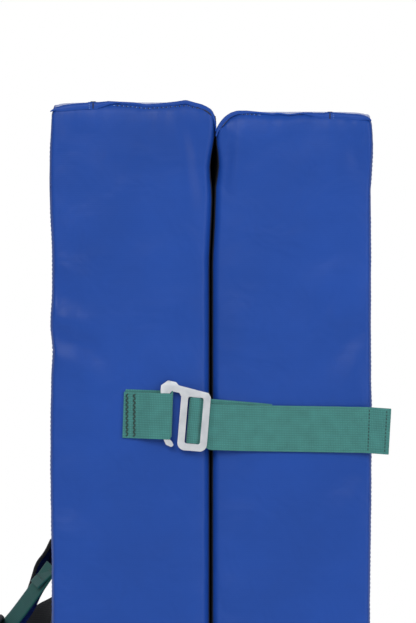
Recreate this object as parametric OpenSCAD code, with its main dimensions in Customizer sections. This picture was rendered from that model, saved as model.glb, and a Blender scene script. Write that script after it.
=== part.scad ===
// Folding rescue mat: two foam-filled halves hinged like a book along one long edge, closed by two
// webbing straps with hook buckles and carried on the back by a shoulder harness.
// The mat stands closed on its bottom end. +Z is up, -Y is the closing side and +Y the spine.
// The origin is the middle of the bottom end of the half that carries the harness.

/* [Halves] */
// Height of the half that carries the harness
carry_h = 1000; // [850:5:1250]
// How much lower the other half stands
swing_short = 8; // [0:1:20]
// Width of each half, from the closing side to the spine
half_w = 600; // [520:5:750]
// Thickness of each half
half_t = 131; // [105:1:160]
// Thickness of the coated sheet that the covers are sewn from
sheet_t = 1; // [0.6:0.1:1.2]
// Closed-cell foam under the landing sheet
landing_foam_t = 20; // [10:1:30]
// Closed-cell foam over the base sheet
base_foam_t = 12; // [8:1:20]
// Gap between the closed halves
fold_gap = 2.6; // [2.6:0.1:5]

/* [Hinge] */
// Width of each leaf of the fabric hinge
hinge_leaf_w = 60; // [30:5:100]
// Hinge cloth that each end of the halves leaves bare
hinge_inset = 20; // [5:5:60]
// Diameter of the cord sewn into the hinge fold
hinge_cord_d = 2.4; // [1.6:0.1:2.4]

/* [Closing straps] */
// Distance of each closing strap from the nearer end of the mat
closure_inset = 263; // [150:1:380]
// Width of the closing webbing
web_w = 38; // [30:1:50]
// Thickness of the webbing
web_t = 1.6; // [1.2:0.1:1.8]
// Hook buckle, from the fold of the mat to its middle
hook_inset = 14.4; // [14:0.2:24]
// Lean of the hook buckle and its webbing
hook_lean = 4.8; // [0:0.1:6]
// How much higher the loop is sewn than the hook hangs
loop_rise = 4; // [0:0.1:4]
// Free tail past the outer face of the mat
tail_overhang = 14.6; // [5:0.1:30]
// Length of the folded hem of each tail
hem_l = 19; // [12:1:30]

/* [Hook buckle] */
// Thickness of the aluminium plate
hook_t = 3; // [2.4:0.1:4]
// Width of each webbing slot
slot_w = 4.1; // [3.6:0.1:5]
// Width of the bar between the slots
mid_bar_w = 4.6; // [4:0.1:6]
// Width of the bars at the sides of the slots
side_bar_w = 5.8; // [5:0.1:7]

/* [Grab handles] */
// Length of each handle between its sewn ends
handle_l = 130; // [110:1:180]
// Height of the handle bow above the wall
handle_bow = 30; // [26:1:45]
// Height of the middle of the handles
handle_z = 470; // [430:1:540]

/* [Harness] */
// Height of the seam that the left shoulder pad hangs from
shoulder_z = 636; // [560:1:760]
// How much lower the right pad's seam is
right_drop = 42; // [0:1:60]
// Distance between the shoulder pads at their seams
shoulder_gap = 140; // [110:1:200]
// Angle at which each pad runs outwards
shoulder_spread = 8; // [4:0.5:12]
// Width of the shoulder pads
pad_w = 65; // [55:1:80]
// Thickness of the shoulder pads
pad_t = 12; // [8:0.5:13]
// Width of the harness webbing
strap_w = 25; // [20:1:30]

/* [Foam-access zips] */
// Distance of the zip from the outer face
zip_inset = 34; // [25:1:45]
// Length of the zip
zip_l = 520; // [400:5:580]
// Width of the zip tape
zip_w = 28; // [22:1:32]

/* [Hidden] */
$fn = 32;

COATED = "#2450A4";
WEBBING = "#48837F";
METAL = "#C9CCD0";
BLACK = "#1A1B1D";
NAVY = "#0C2148";

swing_h = carry_h - swing_short;
front_y = -half_w / 2;
base_x = -half_t / 2;
fold_x = half_t / 2 + fold_gap / 2;
outer_x = fold_x + fold_gap / 2 + half_t;
clear = 0.3;
hook_clear = 0.4;

// Depths of the webbing layers in front of the closing side, each to the middle of its layer
sewn_y = front_y - web_t / 2;
under_y = front_y - hook_clear - web_t / 2;
over_y = under_y - web_t - clear;
plate_y = over_y - web_t / 2 - clear;
mid_bar_t = hook_t - web_t + clear;
turn_y = plate_y - mid_bar_t - clear - web_t / 2;
loop_front_y = plate_y - hook_t - clear - web_t / 2;

// ---------------------------------------------------------------- paths and ribbons

function unit(v) = v / norm(v);
function turned(v, a) = [v.x * cos(a) - v.y * sin(a), v.x * sin(a) + v.y * cos(a)];

// One corner of a path, rounded to radius r in n steps
function corner(a, b, c, r, n) =
    let (u = unit(a - b), v = unit(c - b),
         half = acos(max(-1, min(1, u * v))) / 2,
         bend = sign(cross(b - a, c - b)) * (180 - 2 * half),
         centre = b + unit(u + v) * r / sin(half),
         first = b + u * r / tan(half) - centre)
    [for (k = [0 : n]) centre + turned(first, bend * k / n)];

// A path with every inner corner rounded to radius r
function rounded(path, r, n = 6) = [
    for (i = [0 : len(path) - 1])
        each (i == 0 || i == len(path) - 1)
            ? [path[i]] : corner(path[i - 1], path[i], path[i + 1], r, n)
];

// The path moved sideways by d
function beside(path, d) = [
    for (i = [0 : len(path) - 1])
        let (a = i == 0 ? path[1] - path[0] : path[i] - path[i - 1],
             b = i == len(path) - 1 ? a : path[i + 1] - path[i],
             na = unit([-a.y, a.x]), nb = unit([-b.y, b.x]), m = unit(na + nb))
        path[i] + m * d / (m * na)
];

// The outline of a strip of thickness t along a path
function ribbon(path, t) =
    let (left = beside(path, t / 2), right = beside(path, -t / 2))
    concat(left, [for (i = [len(right) - 1 : -1 : 0]) right[i]]);

// A strip that stands on edge: its path lies in XY, its width is along Z
module strip_z(path, t, w, z) translate([0, 0, z - w / 2]) linear_extrude(w) polygon(ribbon(path, t));

// A strip whose path lies in XZ, its width along Y and its middle at y
module strip_y(path, t, w, y = 0)
    translate([0, y + w / 2, 0]) rotate([90, 0, 0]) linear_extrude(w) polygon(ribbon(path, t));

// ---------------------------------------------------------------- the two halves

// Places a half: its own X runs from the landing face outwards
module on_carry() translate([half_t / 2, 0, 0]) mirror([1, 0, 0]) children();
module on_swing() translate([fold_x + fold_gap / 2, 0, 0]) children();

module slab(from, to, h, inset)
    translate([from, front_y + inset, inset]) cube([to - from, half_w - 2 * inset, h - 2 * inset]);

core_from = sheet_t + landing_foam_t;
core_to = half_t - sheet_t - base_foam_t;

module side_wall(h) color(COATED) difference() {
    slab(sheet_t, half_t - sheet_t, h, 0);
    slab(0, half_t, h, sheet_t);
}
module landing_sheet(h) color(BLACK) slab(0, sheet_t, h, 0);
module base_sheet(h) color(COATED) slab(half_t - sheet_t, half_t, h, 0);
module landing_foam(h) color("dimgray") slab(sheet_t, core_from, h, sheet_t);
module core_foam(h) color("wheat") slab(core_from, core_to, h, sheet_t);
module base_foam(h) color("slategray") slab(core_to, half_t - sheet_t, h, sheet_t);

// ---------------------------------------------------------------- fabric hinge

hinge_y = half_w / 2 + 1.5;
hinge_leaf_t = (fold_gap - 2 * clear) / 2;
hinge_l = swing_h - 2 * hinge_inset;

module hinge_leaf(x, end_y)
    translate([x, half_w / 2 - hinge_leaf_w, hinge_inset])
        cube([hinge_leaf_t, hinge_leaf_w + end_y - half_w / 2, hinge_l]);

module hinge_strip() color(BLACK) {
    hinge_leaf(fold_x - fold_gap / 2, hinge_y);
    translate([fold_x, hinge_y, hinge_inset]) cylinder(d = hinge_cord_d, h = hinge_l);
}
module hinge_flap() color(BLACK)
    hinge_leaf(fold_x + fold_gap / 2 - hinge_leaf_t, hinge_y - hinge_cord_d / 2 - clear);

// ---------------------------------------------------------------- closing straps

upper_z = carry_h - closure_inset;
lower_z = closure_inset;
hook_x = fold_x - hook_inset;
window_w = mid_bar_w + 2 * slot_w;
window_h = web_w + 0.6;
frame_r = window_w / 2 + side_bar_w;
frame_low = -window_h / 2 - side_bar_w;
frame_high = window_h / 2 + 1;
gate = 2.3;
loop_l = 44;
lap_l = 12;
lap_gap = 0.1;
anchor_from = fold_x + 25.2;
anchor_to = fold_x + 47;
tail_end = outer_x + tail_overhang;

// The webbing loop that the hook catches: flat on the wall, round the bight and back over itself
loop_end = hook_x - frame_r - gate;
loop_start = loop_end - loop_l;
lap_y = sewn_y - web_t - lap_gap;
loop_path = rounded([
    [loop_start, sewn_y], [loop_end - web_t / 2, sewn_y],
    [loop_end - web_t / 2, loop_front_y], [loop_start + lap_l + 9, loop_front_y],
    [loop_start + lap_l, lap_y], [loop_start, lap_y]
], 1.8);
module loop(z) color(WEBBING) strip_z(loop_path, web_t, web_w, z + loop_rise);

// What leans with the hook is drawn about the middle of its slots
module leaning(z) translate([hook_x, 0, z]) rotate([0, hook_lean, 0]) children();

// The hook's plate seen from the front: a frame, a head that reaches over the loop and a tapered leg
head_low = window_h / 2 + 3.1;
module hook_outline() difference() {
    offset(r = 1.2) offset(delta = -2.4) offset(r = 1.2) polygon([
        [frame_r, frame_high], [frame_r - 2, frame_high + 3.2],
        [-15, frame_high + 7.6], [-17.4, frame_high + 10], [-24.2, frame_high + 11],
        [-29.6, frame_high + 6.4], [-29.6, frame_high + 2.4],
        [-25.2, -12], [-24.4, -16.3], [-21.6, -21.7], [-17, -23.4], [-15, -21.7],
        [-16.8, -18.7], [-20.3, -15.9], [-21, -10], [-22.2, head_low - 2.2], [-20.4, head_low + 0.2],
        [-14, head_low - 0.6], [-frame_r, head_low - 3.6], [-frame_r, frame_low + 5.6],
        [-frame_r + 5.8, frame_low], [frame_r - 4.8, frame_low], [frame_r, frame_low + 6]
    ]);
    for (side = [-1, 1])
        translate([side * (mid_bar_w + slot_w) / 2, 0]) square([slot_w, window_h], center = true);
}
// The bar between the slots is thinner than the plate, so that the webbing lies flush over it
module hook(z) color(METAL) leaning(z) difference() {
    translate([0, plate_y, 0]) rotate([90, 0, 0]) linear_extrude(hook_t) hook_outline();
    translate([-mid_bar_w / 2 - slot_w / 2, plate_y - hook_t - 1, -window_h / 2])
        cube([mid_bar_w + slot_w, hook_t - mid_bar_t + 1, window_h]);
}

// The webbing from the anchor through both slots, over the bar, back under the right side bar and
// out over the anchor to its free end, which is folded under into a hem
slot_x = (mid_bar_w + slot_w) / 2;
tail_reach = (tail_end - hook_x) / cos(hook_lean);
strap_path = rounded([
    [(anchor_from - clear - hook_x - web_w / 2 * sin(hook_lean)) / cos(hook_lean), under_y],
    [-slot_x, under_y], [-slot_x, turn_y], [slot_x, turn_y], [slot_x, over_y], [tail_reach, over_y]
], 1);
module strap(z) color(WEBBING) leaning(z) {
    strip_z(strap_path, web_t, web_w, 0);
    strip_z([[tail_reach - hem_l, over_y + web_t], [tail_reach, over_y + web_t]], web_t, web_w, 0);
}
module anchor(z) color(WEBBING) difference() {
    leaning(z) strip_z([[0, sewn_y], [(anchor_to - hook_x) / cos(hook_lean), sewn_y]], web_t, web_w, 0);
    translate([hook_x - web_w, sewn_y - web_t, z - web_w])
        cube([anchor_from - hook_x + web_w, 2 * web_t, 2 * web_w]);
}

// ---------------------------------------------------------------- grab handles

handle_tab = 28;
handle_t = 2.2;
grip_l = handle_l - 68;
carry_handle_x = 0;
swing_handle_x = fold_x + fold_gap / 2 + half_t / 2;

// A bow of webbing that stands off the wall, sewn down at both ends
handle_path = rounded([
    [0, -handle_l / 2 - handle_tab], [0, -handle_l / 2], [-handle_bow + 3, -handle_l / 2 + 26],
    [-handle_bow + 3, handle_l / 2 - 26], [0, handle_l / 2], [0, handle_l / 2 + handle_tab]
], 14);
module facing_front(x) translate([x, front_y, handle_z]) rotate([0, 0, 90]) children();
module handle(x) color(WEBBING)
    facing_front(x) translate([-handle_t / 2, 0, 0]) strip_y(handle_path, handle_t, web_w);
module handle_grip(x) color(BLACK)
    facing_front(x) translate([-handle_bow + 3 - handle_t / 2, 0, 0]) difference() {
        grip_body(8, web_w + 8, grip_l);
        grip_body(handle_t, web_w, grip_l + 2);
    }
module grip_body(t, w, l) cube([t, w, l], center = true);

// ---------------------------------------------------------------- foam-access zips

zip_t = 1.2;
teeth_w = 6;
teeth_t = 1;
slider_w = 12;
slider_l = 14;
slider_t = 4.2;
bridge_w = 3;
bridge_t = 1.4;
bridge_foot = 2;
pull_w = 8;
pull_t = 1.6;
pull_l = 26;
pin_d = 2;

// The middle of a closed zip is placed on the end of the half at height h
module on_zip(h) translate([half_t - zip_inset, 0, h]) children();
module zip(h) color(BLACK) on_zip(h) {
    translate([-zip_w / 2, -zip_l / 2, 0]) cube([zip_w, zip_l, zip_t]);
    translate([-teeth_w / 2, -zip_l / 2, zip_t]) cube([teeth_w, zip_l, teeth_t]);
}

// The slider straddles the teeth at the spine end of the closed zip
slider_y = zip_l / 2 - slider_l - 4;
bridge_z = slider_t + 3.4;
pin_y = slider_l - 5.4;
pin_z = slider_t + 1.9;
module on_slider(h) on_zip(h) translate([0, slider_y, zip_t + clear]) children();
module zip_slider(h) color(METAL) on_slider(h) difference() {
    union() {
        translate([-slider_w / 2, 0, 0]) cube([slider_w, slider_l, slider_t]);
        translate([-bridge_w / 2, 2, 0]) cube([bridge_w, slider_l - 4, bridge_z + bridge_t]);
    }
    translate([-teeth_w / 2 - clear, -1, -1])
        cube([teeth_w + 2 * clear, slider_l + 2, 1 + teeth_t + clear]);
    translate([-slider_w, 2 + bridge_foot, slider_t])
        cube([2 * slider_w, slider_l - 4 - 2 * bridge_foot, bridge_z - slider_t]);
}

// The pull turns on a pin under the slider's bridge and lies flat along the zip
module zip_pull(h) color(METAL) on_slider(h) translate([0, pin_y, pin_z]) {
    rotate([0, 90, 0]) cylinder(d = pin_d, h = pull_w - 1, center = true);
    difference() {
        union() {
            rotate([0, 90, 0]) cylinder(d = pull_t, h = pull_w, center = true);
            translate([-pull_w / 2, -pull_l, -pull_t / 2]) cube([pull_w, pull_l, pull_t]);
        }
        translate([-bridge_w / 2 - clear, -8, -pull_t])
            cube([bridge_w + 2 * clear, 8 + pull_t, 2 * pull_t]);
        translate([0, -pull_l + 5, -pull_t]) cylinder(d = 4, h = 2 * pull_t);
    }
}

// ---------------------------------------------------------------- harness

yoke_t = 1.5;
yoke_h = 130;
lock_t = 4;
lock_h = 24;
lock_w = strap_w + 8;
lock_slot = 3.4;
strap_t = 1.4;
foot_h = 60;
lifter_y = (pad_w + lock_w) / 2 + clear;
yoke_w = shoulder_gap + 2 * lifter_y + strap_w + 16;

module yoke() color(BLACK) translate([base_x - yoke_t, -yoke_w / 2, shoulder_z - 58])
    cube([yoke_t, yoke_w, yoke_h]);

// Places one shoulder strap: X runs outwards from the yoke and Z up from the pad's seam
module shoulder(side, drop = 0) translate([base_x - yoke_t, side * shoulder_gap / 2, shoulder_z - drop])
    rotate([side * shoulder_spread, 0, 0]) mirror([1, 0, 0]) children();

// The middle line of each pad, as distance from the yoke and height from its seam
pad_out = pad_t / 2;
left_line = [
    [pad_out + 1, -8], [pad_out + 5, -19], [pad_out + 8, -30], [pad_out + 14, -46], [pad_out + 25, -62],
    [pad_out + 37, -78], [pad_out + 46, -96], [pad_out + 52, -120], [pad_out + 53, -150],
    [pad_out + 49, -195], [pad_out + 41, -240], [pad_out + 31, -285], [pad_out + 20, -325],
    [pad_out + 11, -352]
];
right_line = [
    [pad_out + 1, -6], [pad_out + 12, -15], [pad_out + 25, -31], [pad_out + 37, -54],
    [pad_out + 45, -84], [pad_out + 47, -120], [pad_out + 43, -165], [pad_out + 35, -210],
    [pad_out + 25, -255], [pad_out + 15, -292], [pad_out + 8, -318]
];
module shoulder_pad(side, line, drop) color(BLACK) shoulder(side, drop) strip_y(line, pad_t, pad_w);
module pad_webbing(side, line, drop) color(WEBBING) shoulder(side, drop)
    strip_y(beside(line, (pad_t + strap_t) / 2 + 0.05), strap_t, strap_w);

// A ladder lock: a frame with two slots for the webbing, its thickness along X
module ladder_lock() difference() {
    cube([lock_t, lock_w, lock_h], center = true);
    for (z = [-5, 4]) translate([0, 0, z]) cube([lock_t + 2, strap_w + 1, lock_slot], center = true);
}

// The lifter runs from the yoke out to a lock beside the pad
lifter_from = [strap_t / 2 + clear, -24];
lifter_to = [pad_out + 37, -76];
lifter_lean = atan2(lifter_to.x - lifter_from.x, lifter_from.y - lifter_to.y);
lifter_tail = lifter_from + unit(lifter_to - lifter_from) * 24;
lifter_past = unit([-(lifter_to - lifter_from).y, (lifter_to - lifter_from).x]);
lifter_side = [
    lifter_from - lifter_past * strap_t / 2, lifter_to - lifter_past * strap_t / 2,
    lifter_to + lifter_past * strap_t / 2, lifter_tail + lifter_past * strap_t / 2,
    lifter_tail + lifter_past * (strap_t * 1.5 + 0.15), lifter_from + lifter_past * (strap_t * 1.5 + 0.15)
];
module lifter(side, drop) color(WEBBING) shoulder(side, drop)
    translate([0, side * lifter_y + strap_w / 2, 0]) rotate([90, 0, 0]) linear_extrude(strap_w)
        polygon(lifter_side);
module lifter_lock(side, drop) color(BLACK) shoulder(side, drop)
    translate([lifter_to.x, side * lifter_y, lifter_to.y]) rotate([0, -lifter_lean, 0])
        translate([0, 0, -lock_h / 2 - clear]) ladder_lock();

// The lower strap runs from the lock at the end of the pad down to its foot patch on the mat
function line_end(line) = line[len(line) - 1];
function end_slope(line) = unit(line_end(line) - line[len(line) - 2]);
function lock_top(line) = line_end(line).y - clear - lock_t / 2 * abs(end_slope(line).x / end_slope(line).y);
foot_drop = 470;
module lower_lock(side, line, drop) color(BLACK) shoulder(side, drop)
    translate([line_end(line).x, 0, lock_top(line) - lock_h / 2]) ladder_lock();
module lower_strap(side, line, drop) color(WEBBING) shoulder(side, drop) strip_y(rounded([
    [line_end(line).x, lock_top(line) - lock_h - clear],
    [strap_t / 2 + 0.1, -foot_drop + drop + 14], [strap_t / 2 + 0.1, -foot_drop + drop - 20]
], 12), strap_t, strap_w);
module lower_tail(side, line, drop) color(WEBBING) shoulder(side, drop) strip_y([
    [line_end(line).x + (lock_t + strap_t) / 2 + clear, line_end(line).y - 8],
    [line_end(line).x + (lock_t + strap_t) / 2 + clear, line_end(line).y - 100]
], strap_t, strap_w);
module foot_patch(side, drop) color(BLACK) shoulder(side, drop)
    translate([-yoke_t, -foot_h / 2, -foot_drop + drop - foot_h / 2 - 5]) cube([yoke_t, foot_h, foot_h]);

// ---------------------------------------------------------------- what is drawn

on_carry() side_wall(carry_h);  // carry_side_wall
on_carry() base_sheet(carry_h);  // carry_base_sheet
on_carry() landing_sheet(carry_h);  // carry_landing_sheet
on_carry() landing_foam(carry_h);  // carry_landing_foam
on_carry() core_foam(carry_h);  // carry_core_foam
on_carry() base_foam(carry_h);  // carry_base_foam
on_swing() side_wall(swing_h);  // swing_side_wall
on_swing() base_sheet(swing_h);  // swing_base_sheet
on_swing() landing_sheet(swing_h);  // swing_landing_sheet
on_swing() landing_foam(swing_h);  // swing_landing_foam
on_swing() core_foam(swing_h);  // swing_core_foam
on_swing() base_foam(swing_h);  // swing_base_foam
hinge_strip();
hinge_flap();
loop(upper_z);  // upper_loop
loop(lower_z);  // lower_loop
anchor(upper_z);  // upper_anchor
anchor(lower_z);  // lower_anchor
hook(upper_z);  // upper_hook
hook(lower_z);  // lower_hook
strap(upper_z);  // upper_strap
strap(lower_z);  // lower_strap
handle(carry_handle_x);  // carry_handle
handle(swing_handle_x);  // swing_handle
handle_grip(carry_handle_x);  // carry_handle_grip
handle_grip(swing_handle_x);  // swing_handle_grip
yoke();  // harness_yoke
shoulder_pad(-1, left_line, 0);  // left_shoulder_pad
shoulder_pad(1, right_line, right_drop);  // right_shoulder_pad
pad_webbing(-1, left_line, 0);  // left_pad_webbing
pad_webbing(1, right_line, right_drop);  // right_pad_webbing
lifter(-1, 0);  // left_lifter
lifter(1, right_drop);  // right_lifter
lifter_lock(-1, 0);  // left_lifter_lock
lifter_lock(1, right_drop);  // right_lifter_lock
lower_lock(-1, left_line, 0);  // left_lower_lock
lower_lock(1, right_line, right_drop);  // right_lower_lock
lower_strap(-1, left_line, 0);  // left_lower_strap
lower_strap(1, right_line, right_drop);  // right_lower_strap
lower_tail(-1, left_line, 0);  // left_lower_tail
lower_tail(1, right_line, right_drop);  // right_lower_tail
foot_patch(-1, 0);  // left_foot_patch
foot_patch(1, right_drop);  // right_foot_patch
on_carry() zip(carry_h);  // carry_zip
on_swing() zip(swing_h);  // swing_zip
on_carry() zip_slider(carry_h);  // carry_zip_slider
on_swing() zip_slider(swing_h);  // swing_zip_slider
on_carry() zip_pull(carry_h);  // carry_zip_pull
on_swing() zip_pull(swing_h);  // swing_zip_pull
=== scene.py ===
"""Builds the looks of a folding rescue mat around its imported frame: two coated-cloth covers over foam,
their landing sheets, seams and zips, the closing webbing with its hook buckles, and the harness."""
import math

import bmesh
import bpy
import numpy as np
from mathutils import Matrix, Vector, noise
from mathutils.bvhtree import BVHTree


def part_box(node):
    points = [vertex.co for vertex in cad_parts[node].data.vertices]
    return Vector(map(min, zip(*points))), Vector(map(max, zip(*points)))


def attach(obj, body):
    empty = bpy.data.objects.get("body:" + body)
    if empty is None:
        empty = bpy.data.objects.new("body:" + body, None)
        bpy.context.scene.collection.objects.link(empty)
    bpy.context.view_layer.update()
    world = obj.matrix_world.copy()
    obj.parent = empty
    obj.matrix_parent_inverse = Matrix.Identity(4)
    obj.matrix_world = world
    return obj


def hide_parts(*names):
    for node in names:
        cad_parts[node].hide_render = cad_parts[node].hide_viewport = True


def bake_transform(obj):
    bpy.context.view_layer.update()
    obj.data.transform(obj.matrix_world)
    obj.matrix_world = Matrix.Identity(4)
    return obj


bl_info = {
    "name": "Folding Rescue Mat",
    "version": (1, 0, 0),
    "blender": (4, 5, 0),
    "location": "3D View > Sidebar > Rescue Mat",
    "description": "Models a folding rescue mat with its closing straps and harness around a packed frame",
    "category": "Add Mesh",
}

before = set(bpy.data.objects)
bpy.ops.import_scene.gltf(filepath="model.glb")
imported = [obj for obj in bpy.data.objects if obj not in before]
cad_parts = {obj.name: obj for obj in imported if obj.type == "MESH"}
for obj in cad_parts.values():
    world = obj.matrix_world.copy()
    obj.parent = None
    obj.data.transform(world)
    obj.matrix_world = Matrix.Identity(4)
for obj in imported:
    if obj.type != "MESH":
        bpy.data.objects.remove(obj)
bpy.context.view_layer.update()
MM = 0.001
HALVES = ("carry", "swing")
CLOSURES = ("upper", "lower")
SIDES = ("left", "right")


def node_box(*nodes):
    """Lowest and highest corner of some CAD nodes together."""
    corners = [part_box(n) for n in nodes]
    low = Vector(min(c[0][i] for c in corners) for i in range(3))
    high = Vector(max(c[1][i] for c in corners) for i in range(3))
    return low, high


def half_box(half):
    """The box of a half's cover."""
    return node_box(f"{half}_side_wall", f"{half}_base_sheet", f"{half}_landing_sheet")


def from_outer(half, distance):
    """X at a distance in from a half's outer face."""
    return half_box(half)[half == "swing"].x - OUT[half] * distance


# Which way each half's outer face looks along X
OUT = {"carry": -1, "swing": 1}
FOLD = (half_box("carry")[1].x + half_box("swing")[0].x) / 2
FRONT = half_box("carry")[0].y
BACK = half_box("carry")[1].y
TOP = half_box("carry")[1].z
FLOOR = half_box("carry")[0].z


# ---------------------------------------------------------------- settings

class MatCoverSettings(bpy.types.PropertyGroup):
    """Sizes and colours of the sewn covers"""
    cloth_colour: bpy.props.StringProperty(
        name="Coated cloth", description="sRGB colour of the coated cloth", default="#1D4CA4")
    landing_colour: bpy.props.StringProperty(
        name="Landing cloth", description="sRGB colour of the landing sheets", default="#24262B")
    edge_radius: bpy.props.FloatProperty(
        name="Edge radius", description="Rounding of the sewn outer edges", default=3 * MM, unit="LENGTH")
    fold_radius: bpy.props.FloatProperty(
        name="Fold radius", description="Rounding of the edges along the fold", default=11 * MM,
        unit="LENGTH")
    corner_radius: bpy.props.FloatProperty(
        name="Corner radius", description="Rounding of the top corners at the fold", default=6 * MM,
        unit="LENGTH")
    flange_height: bpy.props.FloatProperty(
        name="Seam flange", description="Height of the seam that stands on the top edge", default=3 * MM,
        unit="LENGTH")
    stitch_pitch: bpy.props.FloatProperty(
        name="Stitch pitch", description="Distance between the stitches of the cover", default=3.6 * MM,
        unit="LENGTH")
    grid: bpy.props.FloatProperty(
        name="Mesh spacing", description="Spacing of the cover's mesh", default=3.4 * MM, unit="LENGTH")


class MatStrapSettings(bpy.types.PropertyGroup):
    """Sizes and colours of the webbing and its buckles"""
    webbing_colour: bpy.props.StringProperty(
        name="Webbing", description="sRGB colour of the webbing", default="#468881")
    thread_colour: bpy.props.StringProperty(
        name="Thread", description="sRGB colour of the thread in the webbing", default="#173F38")
    web_width: bpy.props.FloatProperty(
        name="Webbing width", description="Width of the closing webbing", default=38 * MM, unit="LENGTH")
    web_thickness: bpy.props.FloatProperty(
        name="Webbing thickness", description="Thickness of the closing webbing", default=1.6 * MM,
        unit="LENGTH")
    lean: bpy.props.FloatProperty(
        name="Lean", description="Lean of the hook buckle", default=math.radians(4.8), subtype="ANGLE")
    tail_slope: bpy.props.FloatProperty(
        name="Tail slope", description="Slope of the free tail", default=math.radians(1.2), subtype="ANGLE")
    tail_drop: bpy.props.FloatProperty(
        name="Tail drop", description="How far the tail slips down beside the buckle", default=5.6 * MM,
        unit="LENGTH")


class MatHarnessSettings(bpy.types.PropertyGroup):
    """Sizes and colours of the harness"""
    cloth_colour: bpy.props.StringProperty(
        name="Harness cloth", description="sRGB colour of the harness cloth", default="#141518")
    lining_colour: bpy.props.StringProperty(
        name="Lining", description="sRGB colour of the pads' lining", default="#0D3278")
    strap_width: bpy.props.FloatProperty(
        name="Strap width", description="Width of the harness webbing", default=25 * MM, unit="LENGTH")
    strap_thickness: bpy.props.FloatProperty(
        name="Strap thickness", description="Thickness of the harness webbing", default=1.4 * MM,
        unit="LENGTH")
    pad_width: bpy.props.FloatProperty(
        name="Pad width", description="Width of the shoulder pads", default=65 * MM, unit="LENGTH")
    pad_thickness: bpy.props.FloatProperty(
        name="Pad thickness", description="Thickness of the shoulder pads", default=12 * MM, unit="LENGTH")


class MatStageSettings(bpy.types.PropertyGroup):
    """Camera and light"""
    camera_distance: bpy.props.FloatProperty(
        name="Camera distance", description="From the closing side to the camera", default=6.0,
        unit="LENGTH")
    view_height: bpy.props.FloatProperty(
        name="View height", description="Height of the view at the closing side", default=514.6 * MM,
        unit="LENGTH")
    key_power: bpy.props.FloatProperty(
        name="Key light", description="Power of the large light in front, in watts", default=62)
    backdrop: bpy.props.StringProperty(
        name="Backdrop", description="sRGB colour of the floor", default="#F2F2F2")


def covers():
    """The covers' settings."""
    return bpy.context.scene.mat_cover


def straps():
    """The closing straps' settings."""
    return bpy.context.scene.mat_straps


def harness():
    """The harness's settings."""
    return bpy.context.scene.mat_harness


# ---------------------------------------------------------------- materials

def linear(hex_colour):
    """An sRGB hex colour as linear RGBA."""
    parts = [int(hex_colour[i:i + 2], 16) / 255 for i in (1, 3, 5)]
    return (*(c / 12.92 if c <= 0.04045 else ((c + 0.055) / 1.055) ** 2.4 for c in parts), 1)


def add(tree, kind, inputs=None, **settings):
    """Adds a node. Settings are its own properties; inputs are values, or sockets to link."""
    node = tree.nodes.new(kind)
    for key, value in settings.items():
        setattr(node, key, value)
    for key, value in (inputs or {}).items():
        if isinstance(value, bpy.types.NodeSocket):
            tree.links.new(value, node.inputs[key])
        else:
            node.inputs[key].default_value = value
    return node


def start_material(name, **values):
    """A new material with its shader's own values set; returns the material, tree and shader."""
    material = bpy.data.materials.new(name)
    material.use_nodes = True
    tree = material.node_tree
    shader = tree.nodes["Principled BSDF"]
    for key, value in values.items():
        shader.inputs[key.replace("_", " ")].default_value = value
    return material, tree, shader


def band_scale(period):
    """Scale of a wave texture whose bands are a period apart, in metres."""
    return 2 * math.pi / (20 * period)


def shade(tree, factor, dark, light):
    """Colour between two hex colours by a factor socket."""
    mix = add(tree, "ShaderNodeMix", {0: factor}, data_type="RGBA")
    mix.inputs[6].default_value = linear(dark)
    mix.inputs[7].default_value = linear(light)
    return mix.outputs[2]


def scaled_hex(hex_colour, gain):
    """A hex colour made lighter or darker."""
    return "#" + "".join(
        f"{max(0, min(255, round(int(hex_colour[i:i + 2], 16) * gain))):02X}" for i in (1, 3, 5))


def coated_cloth(name, colour):
    """PVC-coated polyester, calendered: a smooth soft gloss with a fine embossed grain over the weave."""
    material, tree, shader = start_material(name, Roughness=0.42, IOR=1.5, Specular_IOR_Level=0.26)
    place = add(tree, "ShaderNodeTexCoord").outputs["Object"]
    handling = add(tree, "ShaderNodeTexNoise", {"Vector": place, "Scale": 1 / (90 * MM), "Detail": 5.0,
                                                "Roughness": 0.6})
    tree.links.new(shade(tree, handling.outputs["Fac"], scaled_hex(colour, 0.9), scaled_hex(colour, 1.09)),
                   shader.inputs["Base Color"])
    gloss = add(tree, "ShaderNodeMapRange", {"Value": handling.outputs["Fac"], "To Min": 0.36, "To Max": 0.5})
    tree.links.new(gloss.outputs[0], shader.inputs["Roughness"])
    # The emboss is about 1 mm; the weave under the coat shows every 1.5 mm
    grain = add(tree, "ShaderNodeTexNoise", {"Vector": place, "Scale": 1 / (1.1 * MM), "Detail": 2.0})
    weave = add(tree, "ShaderNodeTexWave", {"Vector": place, "Scale": band_scale(1.5 * MM),
                                            "Distortion": 0.6, "Detail": 1.0}, bands_direction="Z")
    fine = add(tree, "ShaderNodeMath", {0: grain.outputs["Fac"], 1: weave.outputs["Fac"]}, operation="ADD")
    soft = add(tree, "ShaderNodeTexNoise", {"Vector": place, "Scale": 1 / (38 * MM), "Detail": 2.0,
                                            "Distortion": 0.8})
    wide = add(tree, "ShaderNodeBump", {"Height": soft.outputs["Fac"], "Strength": 0.6,
                                        "Distance": 2.2 * MM})
    bump = add(tree, "ShaderNodeBump", {"Height": fine.outputs[0], "Strength": 0.18, "Distance": 0.12 * MM,
                                        "Normal": wide.outputs[0]})
    tree.links.new(bump.outputs[0], shader.inputs["Normal"])
    return material


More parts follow.
